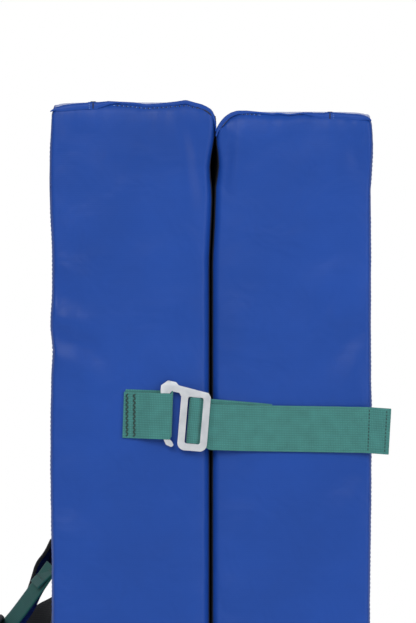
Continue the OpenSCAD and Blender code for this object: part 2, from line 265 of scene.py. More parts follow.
def woven_webbing(name, colour):
    """Polyester webbing, woven with flat ribs across it: matt, with light catching each rib."""
    material, tree, shader = start_material(name, Roughness=0.72, IOR=1.5, Specular_IOR_Level=0.3,
                                            Sheen_Weight=0.25, Sheen_Roughness=0.5)
    along = add(tree, "ShaderNodeUVMap", uv_map="weave").outputs[0]
    # Weft ribs are 1.4 mm apart along the strap, and warp yarns 1.9 mm apart across it: both are a
    # little coarser than the real weave, so that they show
    ribs = add(tree, "ShaderNodeTexWave", {"Vector": along, "Scale": band_scale(1.4 * MM),
                                           "Distortion": 0.5, "Detail": 1.0, "Detail Scale": 2.0})
    warps = add(tree, "ShaderNodeTexWave", {"Vector": along, "Scale": band_scale(1.9 * MM),
                                            "Distortion": 0.3}, bands_direction="Y")
    yarns = add(tree, "ShaderNodeMath", {0: ribs.outputs["Fac"], 1: warps.outputs["Fac"]},
                operation="MULTIPLY")
    place = add(tree, "ShaderNodeTexCoord").outputs["Object"]
    wear = add(tree, "ShaderNodeTexNoise", {"Vector": place, "Scale": 1 / (9 * MM), "Detail": 4.0})
    tone = add(tree, "ShaderNodeMath", {0: yarns.outputs[0], 1: wear.outputs["Fac"]}, operation="ADD")
    level = add(tree, "ShaderNodeMapRange", {"Value": tone.outputs[0], "From Min": 0.2, "From Max": 1.4})
    tree.links.new(shade(tree, level.outputs[0], scaled_hex(colour, 0.86), scaled_hex(colour, 1.1)),
                   shader.inputs["Base Color"])
    bump = add(tree, "ShaderNodeBump", {"Height": yarns.outputs[0], "Strength": 0.5, "Distance": 0.25 * MM})
    tree.links.new(bump.outputs[0], shader.inputs["Normal"])
    return material


def pack_cloth(name, colour, thread=0.9):
    """Textured nylon pack cloth, basket weave: matt and dark, with a faint grid of thick yarns."""
    material, tree, shader = start_material(name, Roughness=0.8, IOR=1.5, Specular_IOR_Level=0.08,
                                            Sheen_Weight=0.02, Sheen_Roughness=0.5)
    place = add(tree, "ShaderNodeTexCoord").outputs["Object"]
    # Yarns of a 1000-denier cloth are about 0.9 mm apart
    warp = add(tree, "ShaderNodeTexWave", {"Vector": place, "Scale": band_scale(2 * thread * MM),
                                           "Distortion": 0.7, "Detail": 1.0}, bands_direction="Y")
    weft = add(tree, "ShaderNodeTexWave", {"Vector": place, "Scale": band_scale(2 * thread * MM),
                                           "Distortion": 0.7, "Detail": 1.0}, bands_direction="Z")
    yarns = add(tree, "ShaderNodeMath", {0: warp.outputs["Fac"], 1: weft.outputs["Fac"]},
                operation="MULTIPLY")
    dust = add(tree, "ShaderNodeTexNoise", {"Vector": place, "Scale": 1 / (40 * MM), "Detail": 6.0})
    tone = add(tree, "ShaderNodeMath", {0: yarns.outputs[0], 1: dust.outputs["Fac"]}, operation="ADD")
    level = add(tree, "ShaderNodeMapRange", {"Value": tone.outputs[0], "From Min": 0.2, "From Max": 1.5})
    tree.links.new(shade(tree, level.outputs[0], scaled_hex(colour, 0.75), scaled_hex(colour, 1.3)),
                   shader.inputs["Base Color"])
    bump = add(tree, "ShaderNodeBump", {"Height": yarns.outputs[0], "Strength": 0.6, "Distance": 0.3 * MM})
    tree.links.new(bump.outputs[0], shader.inputs["Normal"])
    return material


def tumbled_aluminium(name):
    """Stamped aluminium, tumbled smooth: pale and satin, with a faint random grain."""
    material, tree, shader = start_material(name, Metallic=1.0, Roughness=0.4)
    place = add(tree, "ShaderNodeTexCoord").outputs["Object"]
    grain = add(tree, "ShaderNodeTexNoise", {"Vector": place, "Scale": 1 / (1.6 * MM), "Detail": 4.0})
    rubs = add(tree, "ShaderNodeTexNoise", {"Vector": place, "Scale": 1 / (7 * MM), "Detail": 3.0})
    tree.links.new(shade(tree, rubs.outputs["Fac"], "#D3D7DA", "#F1F2F3"), shader.inputs["Base Color"])
    rough = add(tree, "ShaderNodeMapRange", {"Value": rubs.outputs["Fac"], "To Min": 0.32, "To Max": 0.5})
    tree.links.new(rough.outputs[0], shader.inputs["Roughness"])
    bump = add(tree, "ShaderNodeBump", {"Height": grain.outputs["Fac"], "Strength": 0.12,
                                        "Distance": 0.1 * MM})
    tree.links.new(bump.outputs[0], shader.inputs["Normal"])
    return material


def moulded(name, colour, roughness=0.5, grain=0.6):
    """Moulded plastic or rubber with a fine spark-eroded texture: dark, with soft highlights."""
    material, tree, shader = start_material(name, Roughness=roughness, IOR=1.48)
    place = add(tree, "ShaderNodeTexCoord").outputs["Object"]
    pits = add(tree, "ShaderNodeTexNoise", {"Vector": place, "Scale": 1 / (grain * MM), "Detail": 3.0})
    rubs = add(tree, "ShaderNodeTexNoise", {"Vector": place, "Scale": 1 / (12 * MM), "Detail": 3.0})
    tree.links.new(shade(tree, rubs.outputs["Fac"], scaled_hex(colour, 0.85), scaled_hex(colour, 1.2)),
                   shader.inputs["Base Color"])
    bump = add(tree, "ShaderNodeBump", {"Height": pits.outputs["Fac"], "Strength": 0.2,
                                        "Distance": 0.1 * MM})
    tree.links.new(bump.outputs[0], shader.inputs["Normal"])
    return material


def plated_zinc(name):
    """Die-cast zinc, dark plated: a grey metal that is rubbed brighter in patches."""
    material, tree, shader = start_material(name, Metallic=1.0, Roughness=0.35)
    place = add(tree, "ShaderNodeTexCoord").outputs["Object"]
    rubs = add(tree, "ShaderNodeTexNoise", {"Vector": place, "Scale": 1 / (3 * MM), "Detail": 3.0})
    tree.links.new(shade(tree, rubs.outputs["Fac"], "#4B4D52", "#8E9197"), shader.inputs["Base Color"])
    return material


def sewing_thread(name, colour):
    """Bonded polyester thread, twisted: a soft sheen that breaks up along its length."""
    material, tree, shader = start_material(name, Roughness=0.5, Sheen_Weight=0.3)
    place = add(tree, "ShaderNodeTexCoord").outputs["Object"]
    twist = add(tree, "ShaderNodeTexNoise", {"Vector": place, "Scale": 1 / (0.8 * MM), "Detail": 2.0})
    tree.links.new(shade(tree, twist.outputs["Fac"], scaled_hex(colour, 0.75), scaled_hex(colour, 1.2)),
                   shader.inputs["Base Color"])
    return material


def open_foam(name, colour):
    """Cut polyurethane foam: pale and matt, with cells about a millimetre across."""
    material, tree, shader = start_material(name, Roughness=0.95, Specular_IOR_Level=0.15)
    place = add(tree, "ShaderNodeTexCoord").outputs["Object"]
    cells = add(tree, "ShaderNodeTexVoronoi", {"Vector": place, "Scale": 1 / (1.2 * MM)})
    tree.links.new(shade(tree, cells.outputs["Distance"], scaled_hex(colour, 0.75), scaled_hex(colour, 1.05)),
                   shader.inputs["Base Color"])
    bump = add(tree, "ShaderNodeBump", {"Height": cells.outputs["Distance"], "Strength": 0.5,
                                        "Distance": 0.4 * MM})
    tree.links.new(bump.outputs[0], shader.inputs["Normal"])
    return material


MATERIALS = {}


def material(key):
    """The material of one finish, made when it is first asked for."""
    makers = {
        "cover": lambda: coated_cloth("coated_cloth", covers().cloth_colour),
        "landing": lambda: pack_cloth("landing_cloth", covers().landing_colour),
        "webbing": lambda: woven_webbing("green_webbing", straps().webbing_colour),
        "thread": lambda: sewing_thread("dark_green_thread", straps().thread_colour),
        "pale_thread": lambda: sewing_thread("pale_blue_thread", "#6F8FC6"),
        # A dark navy, made with the thread shader: painted shade in the needle holes, in the corner seam's
        # groove and in the tab's slit; the zip end's nub is given it too
        "dark_navy_and_painted_shade": lambda: sewing_thread("dark_navy_and_painted_shade", "#081B45"),
        "cover_thread": lambda: sewing_thread("blue_thread", "#2B4F9E"),
        "lifter_webbing": lambda: woven_webbing("lifter_webbing", "#0D5850"),
        "binding": lambda: woven_webbing("black_binding", "#17181B"),
        "foam": lambda: open_foam("open_foam", "#D9C99A"),
        "hook": lambda: tumbled_aluminium("tumbled_aluminium"),
        "harness": lambda: pack_cloth("harness_cloth", harness().cloth_colour),
        "lining": lambda: pack_cloth("mesh_lining", harness().lining_colour, 1.2),
        "black_thread": lambda: sewing_thread("black_thread", "#2B2C30"),
        "plastic": lambda: moulded("black_acetal", "#1B1C1E"),
        "grip": lambda: moulded("black_rubber", "#222326", 0.65, 0.9),
        "zip_tape": lambda: pack_cloth("zip_tape", "#15161A", 0.6),
        "zip_coil": lambda: moulded("nylon_coil", "#26282C", 0.4),
        "zip_metal": lambda: plated_zinc("plated_zinc"),
    }
    if key not in MATERIALS:
        MATERIALS[key] = makers[key]()
    return MATERIALS[key]


# ---------------------------------------------------------------- modelling helpers

def only(piece):
    """Selects one object and makes it active."""
    bpy.ops.object.select_all(action="DESELECT")
    piece.select_set(True)
    bpy.context.view_layer.objects.active = piece
    return piece


def new_piece(name):
    """Names the object that an operator has just added."""
    piece = bpy.context.view_layer.objects.active
    piece.name = piece.data.name = name
    return piece


def modify(piece, kind, **settings):
    """Adds a modifier and applies it."""
    only(piece)
    modifier = piece.modifiers.new(kind.lower(), kind)
    for key, value in settings.items():
        setattr(modifier, key, value)
    bpy.ops.object.modifier_apply(modifier=modifier.name)
    return piece


def points_of(piece):
    """The places of a mesh's vertices, as an array."""
    places = np.empty(len(piece.data.vertices) * 3)
    piece.data.vertices.foreach_get("co", places)
    return places.reshape(-1, 3)


def move_points(piece, places):
    """Puts a mesh's vertices at new places."""
    piece.data.vertices.foreach_set("co", np.asarray(places, dtype=float).ravel())
    piece.data.update()


def in_place(piece):
    """Puts an object at the origin, with its place in its mesh."""
    only(piece)
    bpy.ops.object.transform_apply(location=True, rotation=True, scale=True)
    return piece


def outward(piece):
    """Merges doubled points and turns every face outwards."""
    only(piece)
    bpy.ops.object.mode_set(mode="EDIT")
    bpy.ops.mesh.select_all(action="SELECT")
    bpy.ops.mesh.remove_doubles(threshold=0.01 * MM)
    bpy.ops.mesh.normals_make_consistent(inside=False)
    bpy.ops.object.mode_set(mode="OBJECT")
    return piece


def dress(piece, finish, body, nodes=(), smooth=35):
    """Gives a finished piece its material, the body it moves with and the nodes it stands for."""
    if not piece.data.materials:
        piece.data.materials.append(material(finish))
    only(piece)
    bpy.ops.object.shade_smooth_by_angle(angle=math.radians(smooth))
    if body:
        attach(piece, body)
    if nodes:
        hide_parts(*nodes)
    return piece


def copy_of_node(node, name):
    """A merged copy of a CAD node's mesh, ready to be worked on."""
    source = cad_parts[node]
    piece = bpy.data.objects.new(name, source.data.copy())
    piece.data.name = name
    bpy.context.scene.collection.objects.link(piece)
    piece.data.materials.clear()
    only(piece)
    bpy.ops.object.mode_set(mode="EDIT")
    bpy.ops.mesh.select_all(action="SELECT")
    bpy.ops.mesh.remove_doubles(threshold=0.01 * MM)
    bpy.ops.mesh.dissolve_limited(angle_limit=math.radians(1))
    bpy.ops.object.mode_set(mode="OBJECT")
    return piece


def break_edges(piece, width):
    """Rounds the sharp edges of a stamped, cast or moulded piece."""
    modify(piece, "BEVEL", width=width, segments=3, limit_method="ANGLE", angle_limit=math.radians(50))


def block(name, centre, size, bevel=0.0, segments=3):
    """A block with rounded edges."""
    bpy.ops.object.select_all(action="DESELECT")
    bpy.ops.mesh.primitive_cube_add(size=1, location=centre, scale=size)
    piece = in_place(new_piece(name))
    if bevel:
        modify(piece, "BEVEL", width=bevel, segments=segments, limit_method="NONE")
    return piece


# ---------------------------------------------------------------- lines and strips

def in_mm(x, y, z):
    """A point given in millimetres."""
    return np.array([x, y, z], float) * MM


def distances(line):
    """How far along a line each of its points is."""
    return np.r_[0, np.cumsum(np.linalg.norm(np.diff(line, axis=0), axis=1))]


def headings(line):
    """The direction that a line runs in at each of its points."""
    run = np.gradient(line, axis=0)
    return run / np.linalg.norm(run, axis=1)[:, None]


def rounded_line(points, radius, steps=6):
    """A line in millimetres whose inner corners are rounded, returned in metres."""
    points = [Vector(p) for p in points]
    line = [points[0]]
    for before, at, after in zip(points, points[1:], points[2:]):
        u, v = (before - at).normalized(), (after - at).normalized()
        half = u.angle(v) / 2
        if half > 1.5:
            line.append(at)
            continue
        reach = min(radius / math.tan(half), 0.49 * (before - at).length, 0.49 * (after - at).length)
        r = reach * math.tan(half)
        centre = at + (u + v).normalized() * r / math.sin(half)
        start, end = at + u * reach - centre, at + v * reach - centre
        for k in range(steps + 1):
            line.append(centre + start.slerp(end, k / steps))
    return np.array([list(p) for p in line + [points[-1]]]) * MM


def even_line(points, step):
    """The same line with its points an even step apart, and how far along it each one is."""
    line = np.array([list(p) for p in points], float)
    lengths = distances(line)
    marks = np.linspace(0, lengths[-1], max(2, round(lengths[-1] / step) + 1))
    return np.column_stack([np.interp(marks, lengths, line[:, i]) for i in range(3)]), marks


def smooth_line(points, step, rounds=3):
    """A flowing line through given points, at an even step."""
    line = np.array([list(p) for p in points], float)
    for _ in range(rounds):
        cut = np.empty((2 * len(line) - 2, 3))
        cut[0::2] = line[:-1] * 0.75 + line[1:] * 0.25
        cut[1::2] = line[:-1] * 0.25 + line[1:] * 0.75
        line = np.vstack([line[:1], cut, line[-1:]])
    return even_line(line, step)[0]


def laid_cloth(name, places, thickness, bevel=0.22):
    """A layer of cloth through rows and columns of places, with its own weave map."""
    places = np.asarray(places, float)
    rows, columns = places.shape[:2]
    bpy.ops.object.select_all(action="DESELECT")
    bpy.ops.mesh.primitive_grid_add(x_subdivisions=columns - 1, y_subdivisions=rows - 1, size=1)
    piece = new_piece(name)
    flat = points_of(piece)
    row = np.rint((flat[:, 1] + 0.5) * (rows - 1)).astype(int)
    column = np.rint((flat[:, 0] + 0.5) * (columns - 1)).astype(int)
    move_points(piece, places[row, column])
    middle = places[:, columns // 2]
    run, wide = distances(middle), distances(places[rows // 2])
    corner = np.empty(len(piece.data.loops), dtype=np.int32)
    piece.data.loops.foreach_get("vertex_index", corner)
    layer = piece.data.uv_layers[0]
    layer.name = "weave"
    layer.data.foreach_set("uv", np.column_stack([run[row], wide[column]])[corner].ravel())
    modify(piece, "SOLIDIFY", thickness=thickness, offset=0, use_even_offset=True)
    if bevel:
        modify(piece, "BEVEL", width=thickness * bevel, segments=2, limit_method="ANGLE",
               angle_limit=math.radians(60))
    return piece


def strip(name, points, across, width, thickness, step=1.2 * MM, columns=9, curl=0.0, selvage=0.06 * MM):
    """A strip of webbing along a line. across is its width's direction, one or one for each point."""
    points = np.array([list(p) for p in points], float)
    line, marks = even_line(points, step)
    across = np.array(across, float)
    if across.ndim == 1:
        across = np.tile(across, (len(points), 1))
    lengths = distances(points)
    side = np.column_stack([np.interp(marks, lengths, across[:, i]) for i in range(3)])
    side /= np.linalg.norm(side, axis=1)[:, None]
    run = headings(line)
    face = np.cross(run, side)
    share = np.linspace(-1, 1, columns)
    places = line[:, None, :] + side[:, None, :] * (share * width / 2)[None, :, None]
    places += face[:, None, :] * (curl * share ** 2)[None, :, None]
    # The weft loops make the selvage finely toothed
    tooth = selvage * np.where(np.arange(len(line)) % 2, 1, -1)
    places[:, 0] -= side * tooth[:, None]
    places[:, -1] += side * tooth[:, None]
    return laid_cloth(name, places, thickness)


def stitches(name, rows, facing, pitch, length, radius):
    """Rows of stitches as one mesh. Each is a low capsule laid along its row and facing outwards."""
    bpy.ops.object.select_all(action="DESELECT")
    bpy.ops.mesh.primitive_uv_sphere_add(segments=6, ring_count=4, radius=1)
    piece = new_piece(name)
    ball = points_of(piece)[:, [2, 0, 1]]
    faces = [list(p.vertices) for p in piece.data.polygons]
    places, polygons = [], []
    for row, out in zip(rows, facing if hasattr(facing[0], "__len__") else [facing] * len(rows)):
        out = Vector(out).normalized()
        line, _ = even_line(row, pitch)
        for a, b in zip(line[:-1], line[1:]):
            run = Vector(b - a).normalized()
            side = out.cross(run).normalized()
            turn = np.array([list(run * length / 2), list(side * radius), list(out * radius)])
            polygons += [[v + len(places) * len(ball) for v in f] for f in faces]
            places.append(ball @ turn + (a + b) / 2)
    piece.data.clear_geometry()
    piece.data.from_pydata(np.vstack(places), [], polygons)
    return outward(piece)


def boxed(corners, crossed=True):
    """The rows of a box of stitches, with its two diagonals where it is crossed."""
    rows = [[p, q] for p, q in zip(corners, corners[1:] + corners[:1])]
    if crossed:
        rows += [[corners[0], corners[2]], [corners[1], corners[3]]]
    return rows


def bead(name, points, radius, sides=8, flat=1.0, up=(0, 0, 1)):
    """A closed round cord or bound edge along a line."""
    line = np.array([list(p) for p in points], float)
    run = headings(line)
    across = np.cross(run, np.array(up, float))
    across /= np.linalg.norm(across, axis=1)[:, None]
    above = np.cross(across, run)
    turn = np.linspace(0, 2 * math.pi, sides, endpoint=False)
    rings = (line[:, None, :] + across[:, None, :] * (np.cos(turn) * radius * flat)[None, :, None]
             + above[:, None, :] * (np.sin(turn) * radius)[None, :, None])
    return closed_loft(name, rings)


def closed_loft(name, rings):
    """A closed skin over rings of points, with its ends drawn together."""
    rows, sides = rings.shape[:2]
    bpy.ops.object.select_all(action="DESELECT")
    bpy.ops.mesh.primitive_cylinder_add(vertices=sides, radius=1, depth=1)
    piece = new_piece(name)
    skin = []
    for low in range(0, (rows - 1) * sides, sides):
        high = low + sides
        skin += [[low + k, low + (k + 1) % sides, high + (k + 1) % sides, high + k] for k in range(sides)]
    ends = [rings[0].mean(axis=0), rings[-1].mean(axis=0)]
    first, last = rows * sides, rows * sides + 1
    skin += [[first, (k + 1) % sides, k] for k in range(sides)]
    skin += [[last, (rows - 1) * sides + k, (rows - 1) * sides + (k + 1) % sides] for k in range(sides)]
    piece.data.clear_geometry()
    piece.data.from_pydata(np.vstack([rings.reshape(-1, 3), ends]), [], skin)
    layer = piece.data.uv_layers.new(name="weave")
    middle = rings.mean(axis=1)
    run = distances(middle)
    run = np.r_[np.repeat(run, sides), 0, run[-1]]
    around = np.r_[np.tile(np.arange(sides) * 3 * MM, rows), 0, 0]
    corner = np.empty(len(piece.data.loops), dtype=np.int32)
    piece.data.loops.foreach_get("vertex_index", corner)
    layer.data.foreach_set("uv", np.column_stack([run, around])[corner].ravel())
    return outward(piece)


def surface_of(piece):
    """Finds the skin of a piece from outside, along a direction."""
    mesh = piece.data
    tree = BVHTree.FromPolygons([v.co for v in mesh.vertices], [p.vertices for p in mesh.polygons])

    def drop(points, direction, lift=0.0):
        """The points dropped on the skin along a direction, and lifted back by a little."""
        direction = Vector(direction).normalized()
        found = []
        for p in points:
            hit = tree.ray_cast(Vector(p) - direction * 0.1, direction, 0.3)[0]
            if hit is not None:
                found.append(hit - direction * lift)
        return np.array([list(p) for p in found])
    return drop


# ---------------------------------------------------------------- covers

def ease(value, start, end):
    """0 before start, 1 after end and smooth between."""
    share = np.clip((value - start) / (end - start), 0, 1)
    return share * share * (3 - 2 * share)


def hump(value, centre, width):
    """A soft bump of height 1 about a centre."""
    return np.exp(-((value - centre) / width) ** 2)


# The seam on top of each closing wall: distance from the outer face, and depth below the half's end, mm
TOP_SEAM = {
    "carry": [(-1.6, 8.0), (0, 6.8), (3.3, 4.3), (9, 2.7), (17.6, 1.3), (30, 0.4), (37.5, 0.1),
              (46.8, -0.7), (56.4, -0.2), (69, 0.4), (77.6, 1.9), (90, 1.1), (103, -0.3), (111.2, -1.6),
              (118.9, 0.6), (124, 1.9), (130, 4.3), (134, 9)],
    "swing": [(-1, 8.6), (0, 7.2), (0.7, 6.1), (3.6, 3.8), (8.4, 2.1), (19, 1.4), (29.5, 0.5), (38, 0.9),
              (56, 0.5), (68.5, 2.1), (76.6, 0.8), (81.6, 1.4), (94, 0.1), (103, -0.8), (111, -0.8),
              (117, 1.0), (121, 3.0), (125.5, 8.1), (130, 14)],
}
TOPSTITCH = {
    "carry": [(50, 2.6), (65, 3.6), (78, 5.2), (90, 4.6), (103, 3.6), (111, 2.6), (117, 4.2), (122, 5.4)],
    "swing": [(91, 2.8), (103, 2.0), (111, 2.0)],
}
CORNER_SEAM = {
    "carry": [(120, 4.4), (124.5, 5.4), (128.2, 7.6), (132.4, 11.2)],
    "swing": [(114, 2.4), (117.5, 4.0), (120.5, 6.4), (123.6, 10.2), (126, 14), (128, 18)],
}
# Where the edge along the fold runs at the closing side: depth below the half's end, and how far it
# stands past its place towards the swinging half, mm
FOLD_EDGE = {
    "carry": [(0, 2.6), (8, 4.0), (13.6, 4.4), (21.3, 5.3), (25, 3.9), (35, 2.4), (45, 0.6), (54, -0.4),
              (64, 0.5), (70, 1.5), (80, 1.9), (100, 1.0), (130, -0.4), (1000, -0.6)],
    "swing": [(0, 4.0), (8, 4.6), (13.3, 3.3), (17, 2.3), (27, 3.2), (37, 4.7), (46, 5.0), (56, 3.4),
              (62, 2.0), (72, 1.7), (95, 0.9), (122, -0.6), (1000, -0.8)],
}
# How wide the standing flange is, as a share of its height, by distance from the outer face, mm
FLANGE = {
    "carry": [(45, 0.2), (60, 0.5), (100, 0.8), (112, 0.9), (122, 1.1), (130, 1.0), (134, 0.6), (136, 0.25)],
    "swing": [(45, 0.15), (60, 0.3), (96, 0.45), (106, 0.8), (117, 0.95), (121, 1.0), (125, 0.95),
              (127.6, 0.9), (128.6, 0.3)],
}
# Where the flange turns down at the fold: distance from the outer face, and depth below the end, mm
FLANGE_END = {
    "carry": [(126.5, 3.0), (131, 5.6), (133.8, 9.4), (135.2, 14), (136.1, 19), (136.4, 24)],
    "swing": [(117, 1.2), (121.8, 4.6), (125.8, 9.6), (127.9, 13.4), (128.8, 20)],
}
# The folded band: where it starts and ends, as distance from the outer face, and its depth, mm
BAND = {"carry": (-0.9, 47, 5.4), "swing": (0.3, 50, 5.2)}
# Creases of the closing wall: where each starts and ends, as distance from the outer face and below
# the top, its depth (below 0 stands out) and its width, mm
CREASES = {
    "carry": [
        (0, 152, 27, 178, 1.3, 9), (2, 190, 46, 218, 2.4, 8), (0, 172, 24, 196, -1.2, 8),
        (48, 50, 78, 74, 0.5, 5), (16, 14, 40, 52, 0.6, 8), (8, 120, 30, 134, 0.7, 7),
        (60, 120, 104, 112, 0.5, 8), (10, 88, 40, 82, 0.5, 7), (2, 330, 40, 352, 1.2, 12),
        (110, 14, 126, 88, 0.9, 6), (70, 235, 100, 262, 0.6, 12), (0, 560, 40, 590, 1.4, 12),
        (0, 800, 36, 820, 1.2, 10),
    ],
    "swing": [
        (20, 102, 50, 112, 0.8, 5), (34, 172, 44, 184, 0.9, 5), (0, 180, 42, 224, 1.3, 12),
        (6, 118, 62, 138, 0.7, 11), (0, 236, 34, 268, -1.0, 10), (14, 30, 4, 66, 0.8, 8),
        (36, 20, 76, 42, 0.5, 12), (2, 300, 46, 330, 1.1, 12), (116, 12, 127, 80, 0.8, 6),
        (60, 176, 96, 150, 0.5, 12), (0, 610, 40, 634, 1.3, 12), (2, 850, 30, 870, 1.1, 10),
    ],
}


def half_top(half):
    """Height of a half's top end."""
    return half_box(half)[1].z


def edge_wave(half, height):
    """How the outer edge of the closing wall wanders in and out along its height."""
    below = (TOP - height) / MM
    wave = {
        "carry": 1.3 * hump(below, 183, 12) - 1.3 * hump(below, 207, 9) + 0.8 * hump(below, 60, 30)
        - 0.8 * hump(below, 128, 26) + 0.6 * np.sin(below / 37),
        "swing": 0.9 * hump(below, 34, 16) - 0.7 * hump(below, 84, 30) - 0.0025 * np.minimum(below, 600)
        + 0.5 * np.sin(below / 43 + 1),
    }[half]
    return wave * MM


def to_half(half, places):
    """Distance from the outer face inwards, for points of a half."""
    return (from_outer(half, 0) - places[:, 0]) * OUT[half]


def round_cover(half, places):
    """Rounds a box's points into a cover: tight sewn edges, soft ones along the fold."""
    low, high = (np.array(c) for c in half_box(half))
    settings = covers()
    thick = high[0] - low[0]
    inner = thick - to_half(half, places)
    front, top = places[:, 1] - low[1], high[2] - places[:, 2]
    near_fold = (1 - ease(inner, 18 * MM, 40 * MM)) * (1 - ease(front, 20 * MM, 60 * MM))
    near_top = 1 - ease(top, 22 * MM, 80 * MM)
    radius = settings.edge_radius + near_fold * (
        settings.fold_radius - settings.edge_radius
        + near_top * (settings.corner_radius - settings.fold_radius))
    # Each point outside its rounding's core is drawn in to the radius about it
    core = np.clip(places, low + radius[:, None], high - radius[:, None])
    away = places - core
    length = np.linalg.norm(away, axis=1)
    shell = length > 1e-9
    result = places.copy()
    result[shell] = core[shell] + away[shell] * (radius[shell] / length[shell])[:, None]
    return result


def lean_over(points, half):
    """Moves points near the fold at the closing side, where one half leans over it and both gape."""
    moved = points.copy()
    low, high = half_box(half)
    near = (1 - ease(points[:, 1] - low.y, 8 * MM, 70 * MM)) * ease(
        to_half(half, points), high.x - low.x - 40 * MM, high.x - low.x - 2 * MM)
    depth = (high.z - points[:, 2]) / MM
    stations = np.arange(-10, 1001, 2.0)
    shift = np.interp(stations, *zip(*FOLD_EDGE[half]))
    shift = np.convolve(np.pad(shift, 2, mode="edge"), [0.1, 0.22, 0.36, 0.22, 0.1], mode="valid")
    moved[:, 0] += np.interp(depth, stations, shift) * MM * near
    return moved


def calm_near_straps(half, places):
    """1 where nothing is sewn on the closing wall, and near 0 under the webbing."""
    x, z = places[:, 0], places[:, 2]
    calm = np.ones(len(places))
    for closure in CLOSURES:
        low, high = node_box(f"{closure}_loop", f"{closure}_anchor", f"{closure}_hook")
        middle = (low.z + high.z) / 2
        calm *= 1 - 0.96 * np.exp(-(np.abs(z - middle) / (27 * MM)) ** 4) * ease(x, low.x - 22 * MM, low.x)
    low, high = node_box(f"{half}_handle")
    for end in (low.z + 14 * MM, high.z - 14 * MM):
        calm *= 1 - 0.96 * np.exp(-(np.abs(z - end) / (26 * MM)) ** 4
                                  - (np.abs(x - (low.x + high.x) / 2) / (28 * MM)) ** 4)
    return calm


def worn_cover(half, places):
    """Moves a cover's points as wear and the foam behind them do: crowns, puckers, folds and creases."""
    low, high = (np.array(c) for c in half_box(half))
    outer = to_half(half, places)
    thick = high[0] - low[0]
    inner = thick - outer
    out = OUT[half]
    front, back = places[:, 1] - low[1], high[1] - places[:, 1]
    top, bottom = high[2] - places[:, 2], places[:, 2] - low[2]
    moved = places.copy()
    on_front = 1 - ease(front, 2 * MM, 12 * MM)
    on_back = 1 - ease(back, 2 * MM, 12 * MM)
    on_top = 1 - ease(top, 2 * MM, 14 * MM)
    on_outer = 1 - ease(outer, 1 * MM, 8 * MM)
    on_inner = 1 - ease(inner, 1 * MM, 8 * MM)
    soft = np.array([noise.noise((p[0] * 9, p[1] * 9, p[2] * 9)) for p in places])
    finer = np.array([noise.noise((p[0] * 34 + 7, p[1] * 34, p[2] * 22)) for p in places])
    inside = np.clip(np.minimum(outer, inner) / (30 * MM), 0, 1)
    crown = (1.1 * soft + 0.3 * finer) * inside * MM
    depth = np.zeros(len(places))
    below = (TOP - places[:, 2]) / MM
    for x0, z0, x1, z1, deep, wide in CREASES[half]:
        along = np.array([x1 - x0, z1 - z0], float)
        length = np.linalg.norm(along)
        along /= length
        at = np.column_stack([outer / MM - x0, below - z0])
        run = at @ along
        cross = at @ np.array([-along[1], along[0]]) + 2.5 * np.sin(run / 19)
        fade = ease(run, -0.15 * length, 0.25 * length) * (1 - ease(run, 0.55 * length, 1.15 * length))
        depth += 1.9 * deep * MM * fade * (hump(cross, 0, wide) - 0.55 * hump(cross, 1.5 * wide, wide))
    # Puckers along the sewn edges, strongest at the seam
    pucker = np.sin(places[:, 0] / MM * 0.62 + 1.7 * np.sin(places[:, 0] / MM * 0.13)) * hump(
        top, 8 * MM, 9 * MM)
    pucker += 0.8 * np.sin(places[:, 2] / MM * 0.31 + 2 * np.sin(places[:, 2] / MM * 0.05)) * hump(
        outer, 6 * MM, 8 * MM)
    calm = calm_near_straps(half, places)
    moved[:, 1] -= on_front * calm * (crown - depth + 0.35 * MM * pucker)
    moved[:, 1] -= on_back * np.abs(0.5 * crown) * (1 - hump(inner, 0, 60 * MM))
    # The closing wall's outer edge wanders in and out
    moved[:, 0] += out * (1 - ease(outer, 0, 70 * MM)) * edge_wave(half, places[:, 2]) * (
        1 - ease(front, 40 * MM, 160 * MM)) * np.minimum(1, calm + 0.3)
    face = ease(np.minimum(front, back), 0, 70 * MM) * ease(np.minimum(top, bottom), 0, 60 * MM)
    moved[:, 0] += out * on_outer * (1.6 * soft + 0.3 * finer) * MM * face
    # The landing faces rest against each other
    moved[:, 0] -= out * on_inner * ease(np.minimum(front, back), 6 * MM, 90 * MM) * ease(
        np.minimum(top, bottom), 2 * MM, 22 * MM) * (0.55 + 0.35 * out * finer) * MM
    # The end seam at the closing side rises and dips, and the end panel lies a little lower
    moved[:, 2] -= on_top * end_seam_drop(half, places)
    moved[:, 2] -= on_top * ease(front, 4 * MM, 30 * MM) * (1.1 - 0.5 * soft) * MM
    return lean_over(moved, half)


def end_seam_drop(half, places, fade=30 * MM):
    """How far the end seam lowers a half's top near its closing wall."""
    low, high = half_box(half)
    outer, front = to_half(half, places), places[:, 1] - low.y
    seam = np.interp(outer / MM, *zip(*TOP_SEAM[half])) * MM + covers().flange_height * 0.35
    # Along the fold the top stays rounded all the way back, and less so towards the hinge
    corner = ease(outer, high.x - low.x - 22 * MM, high.x - low.x - 4 * MM)
    back = 1 - 0.72 * front / (high.y - low.y)
    return seam * ((1 - corner) * (1 - ease(front, 4 * MM, fade)) + corner * back)


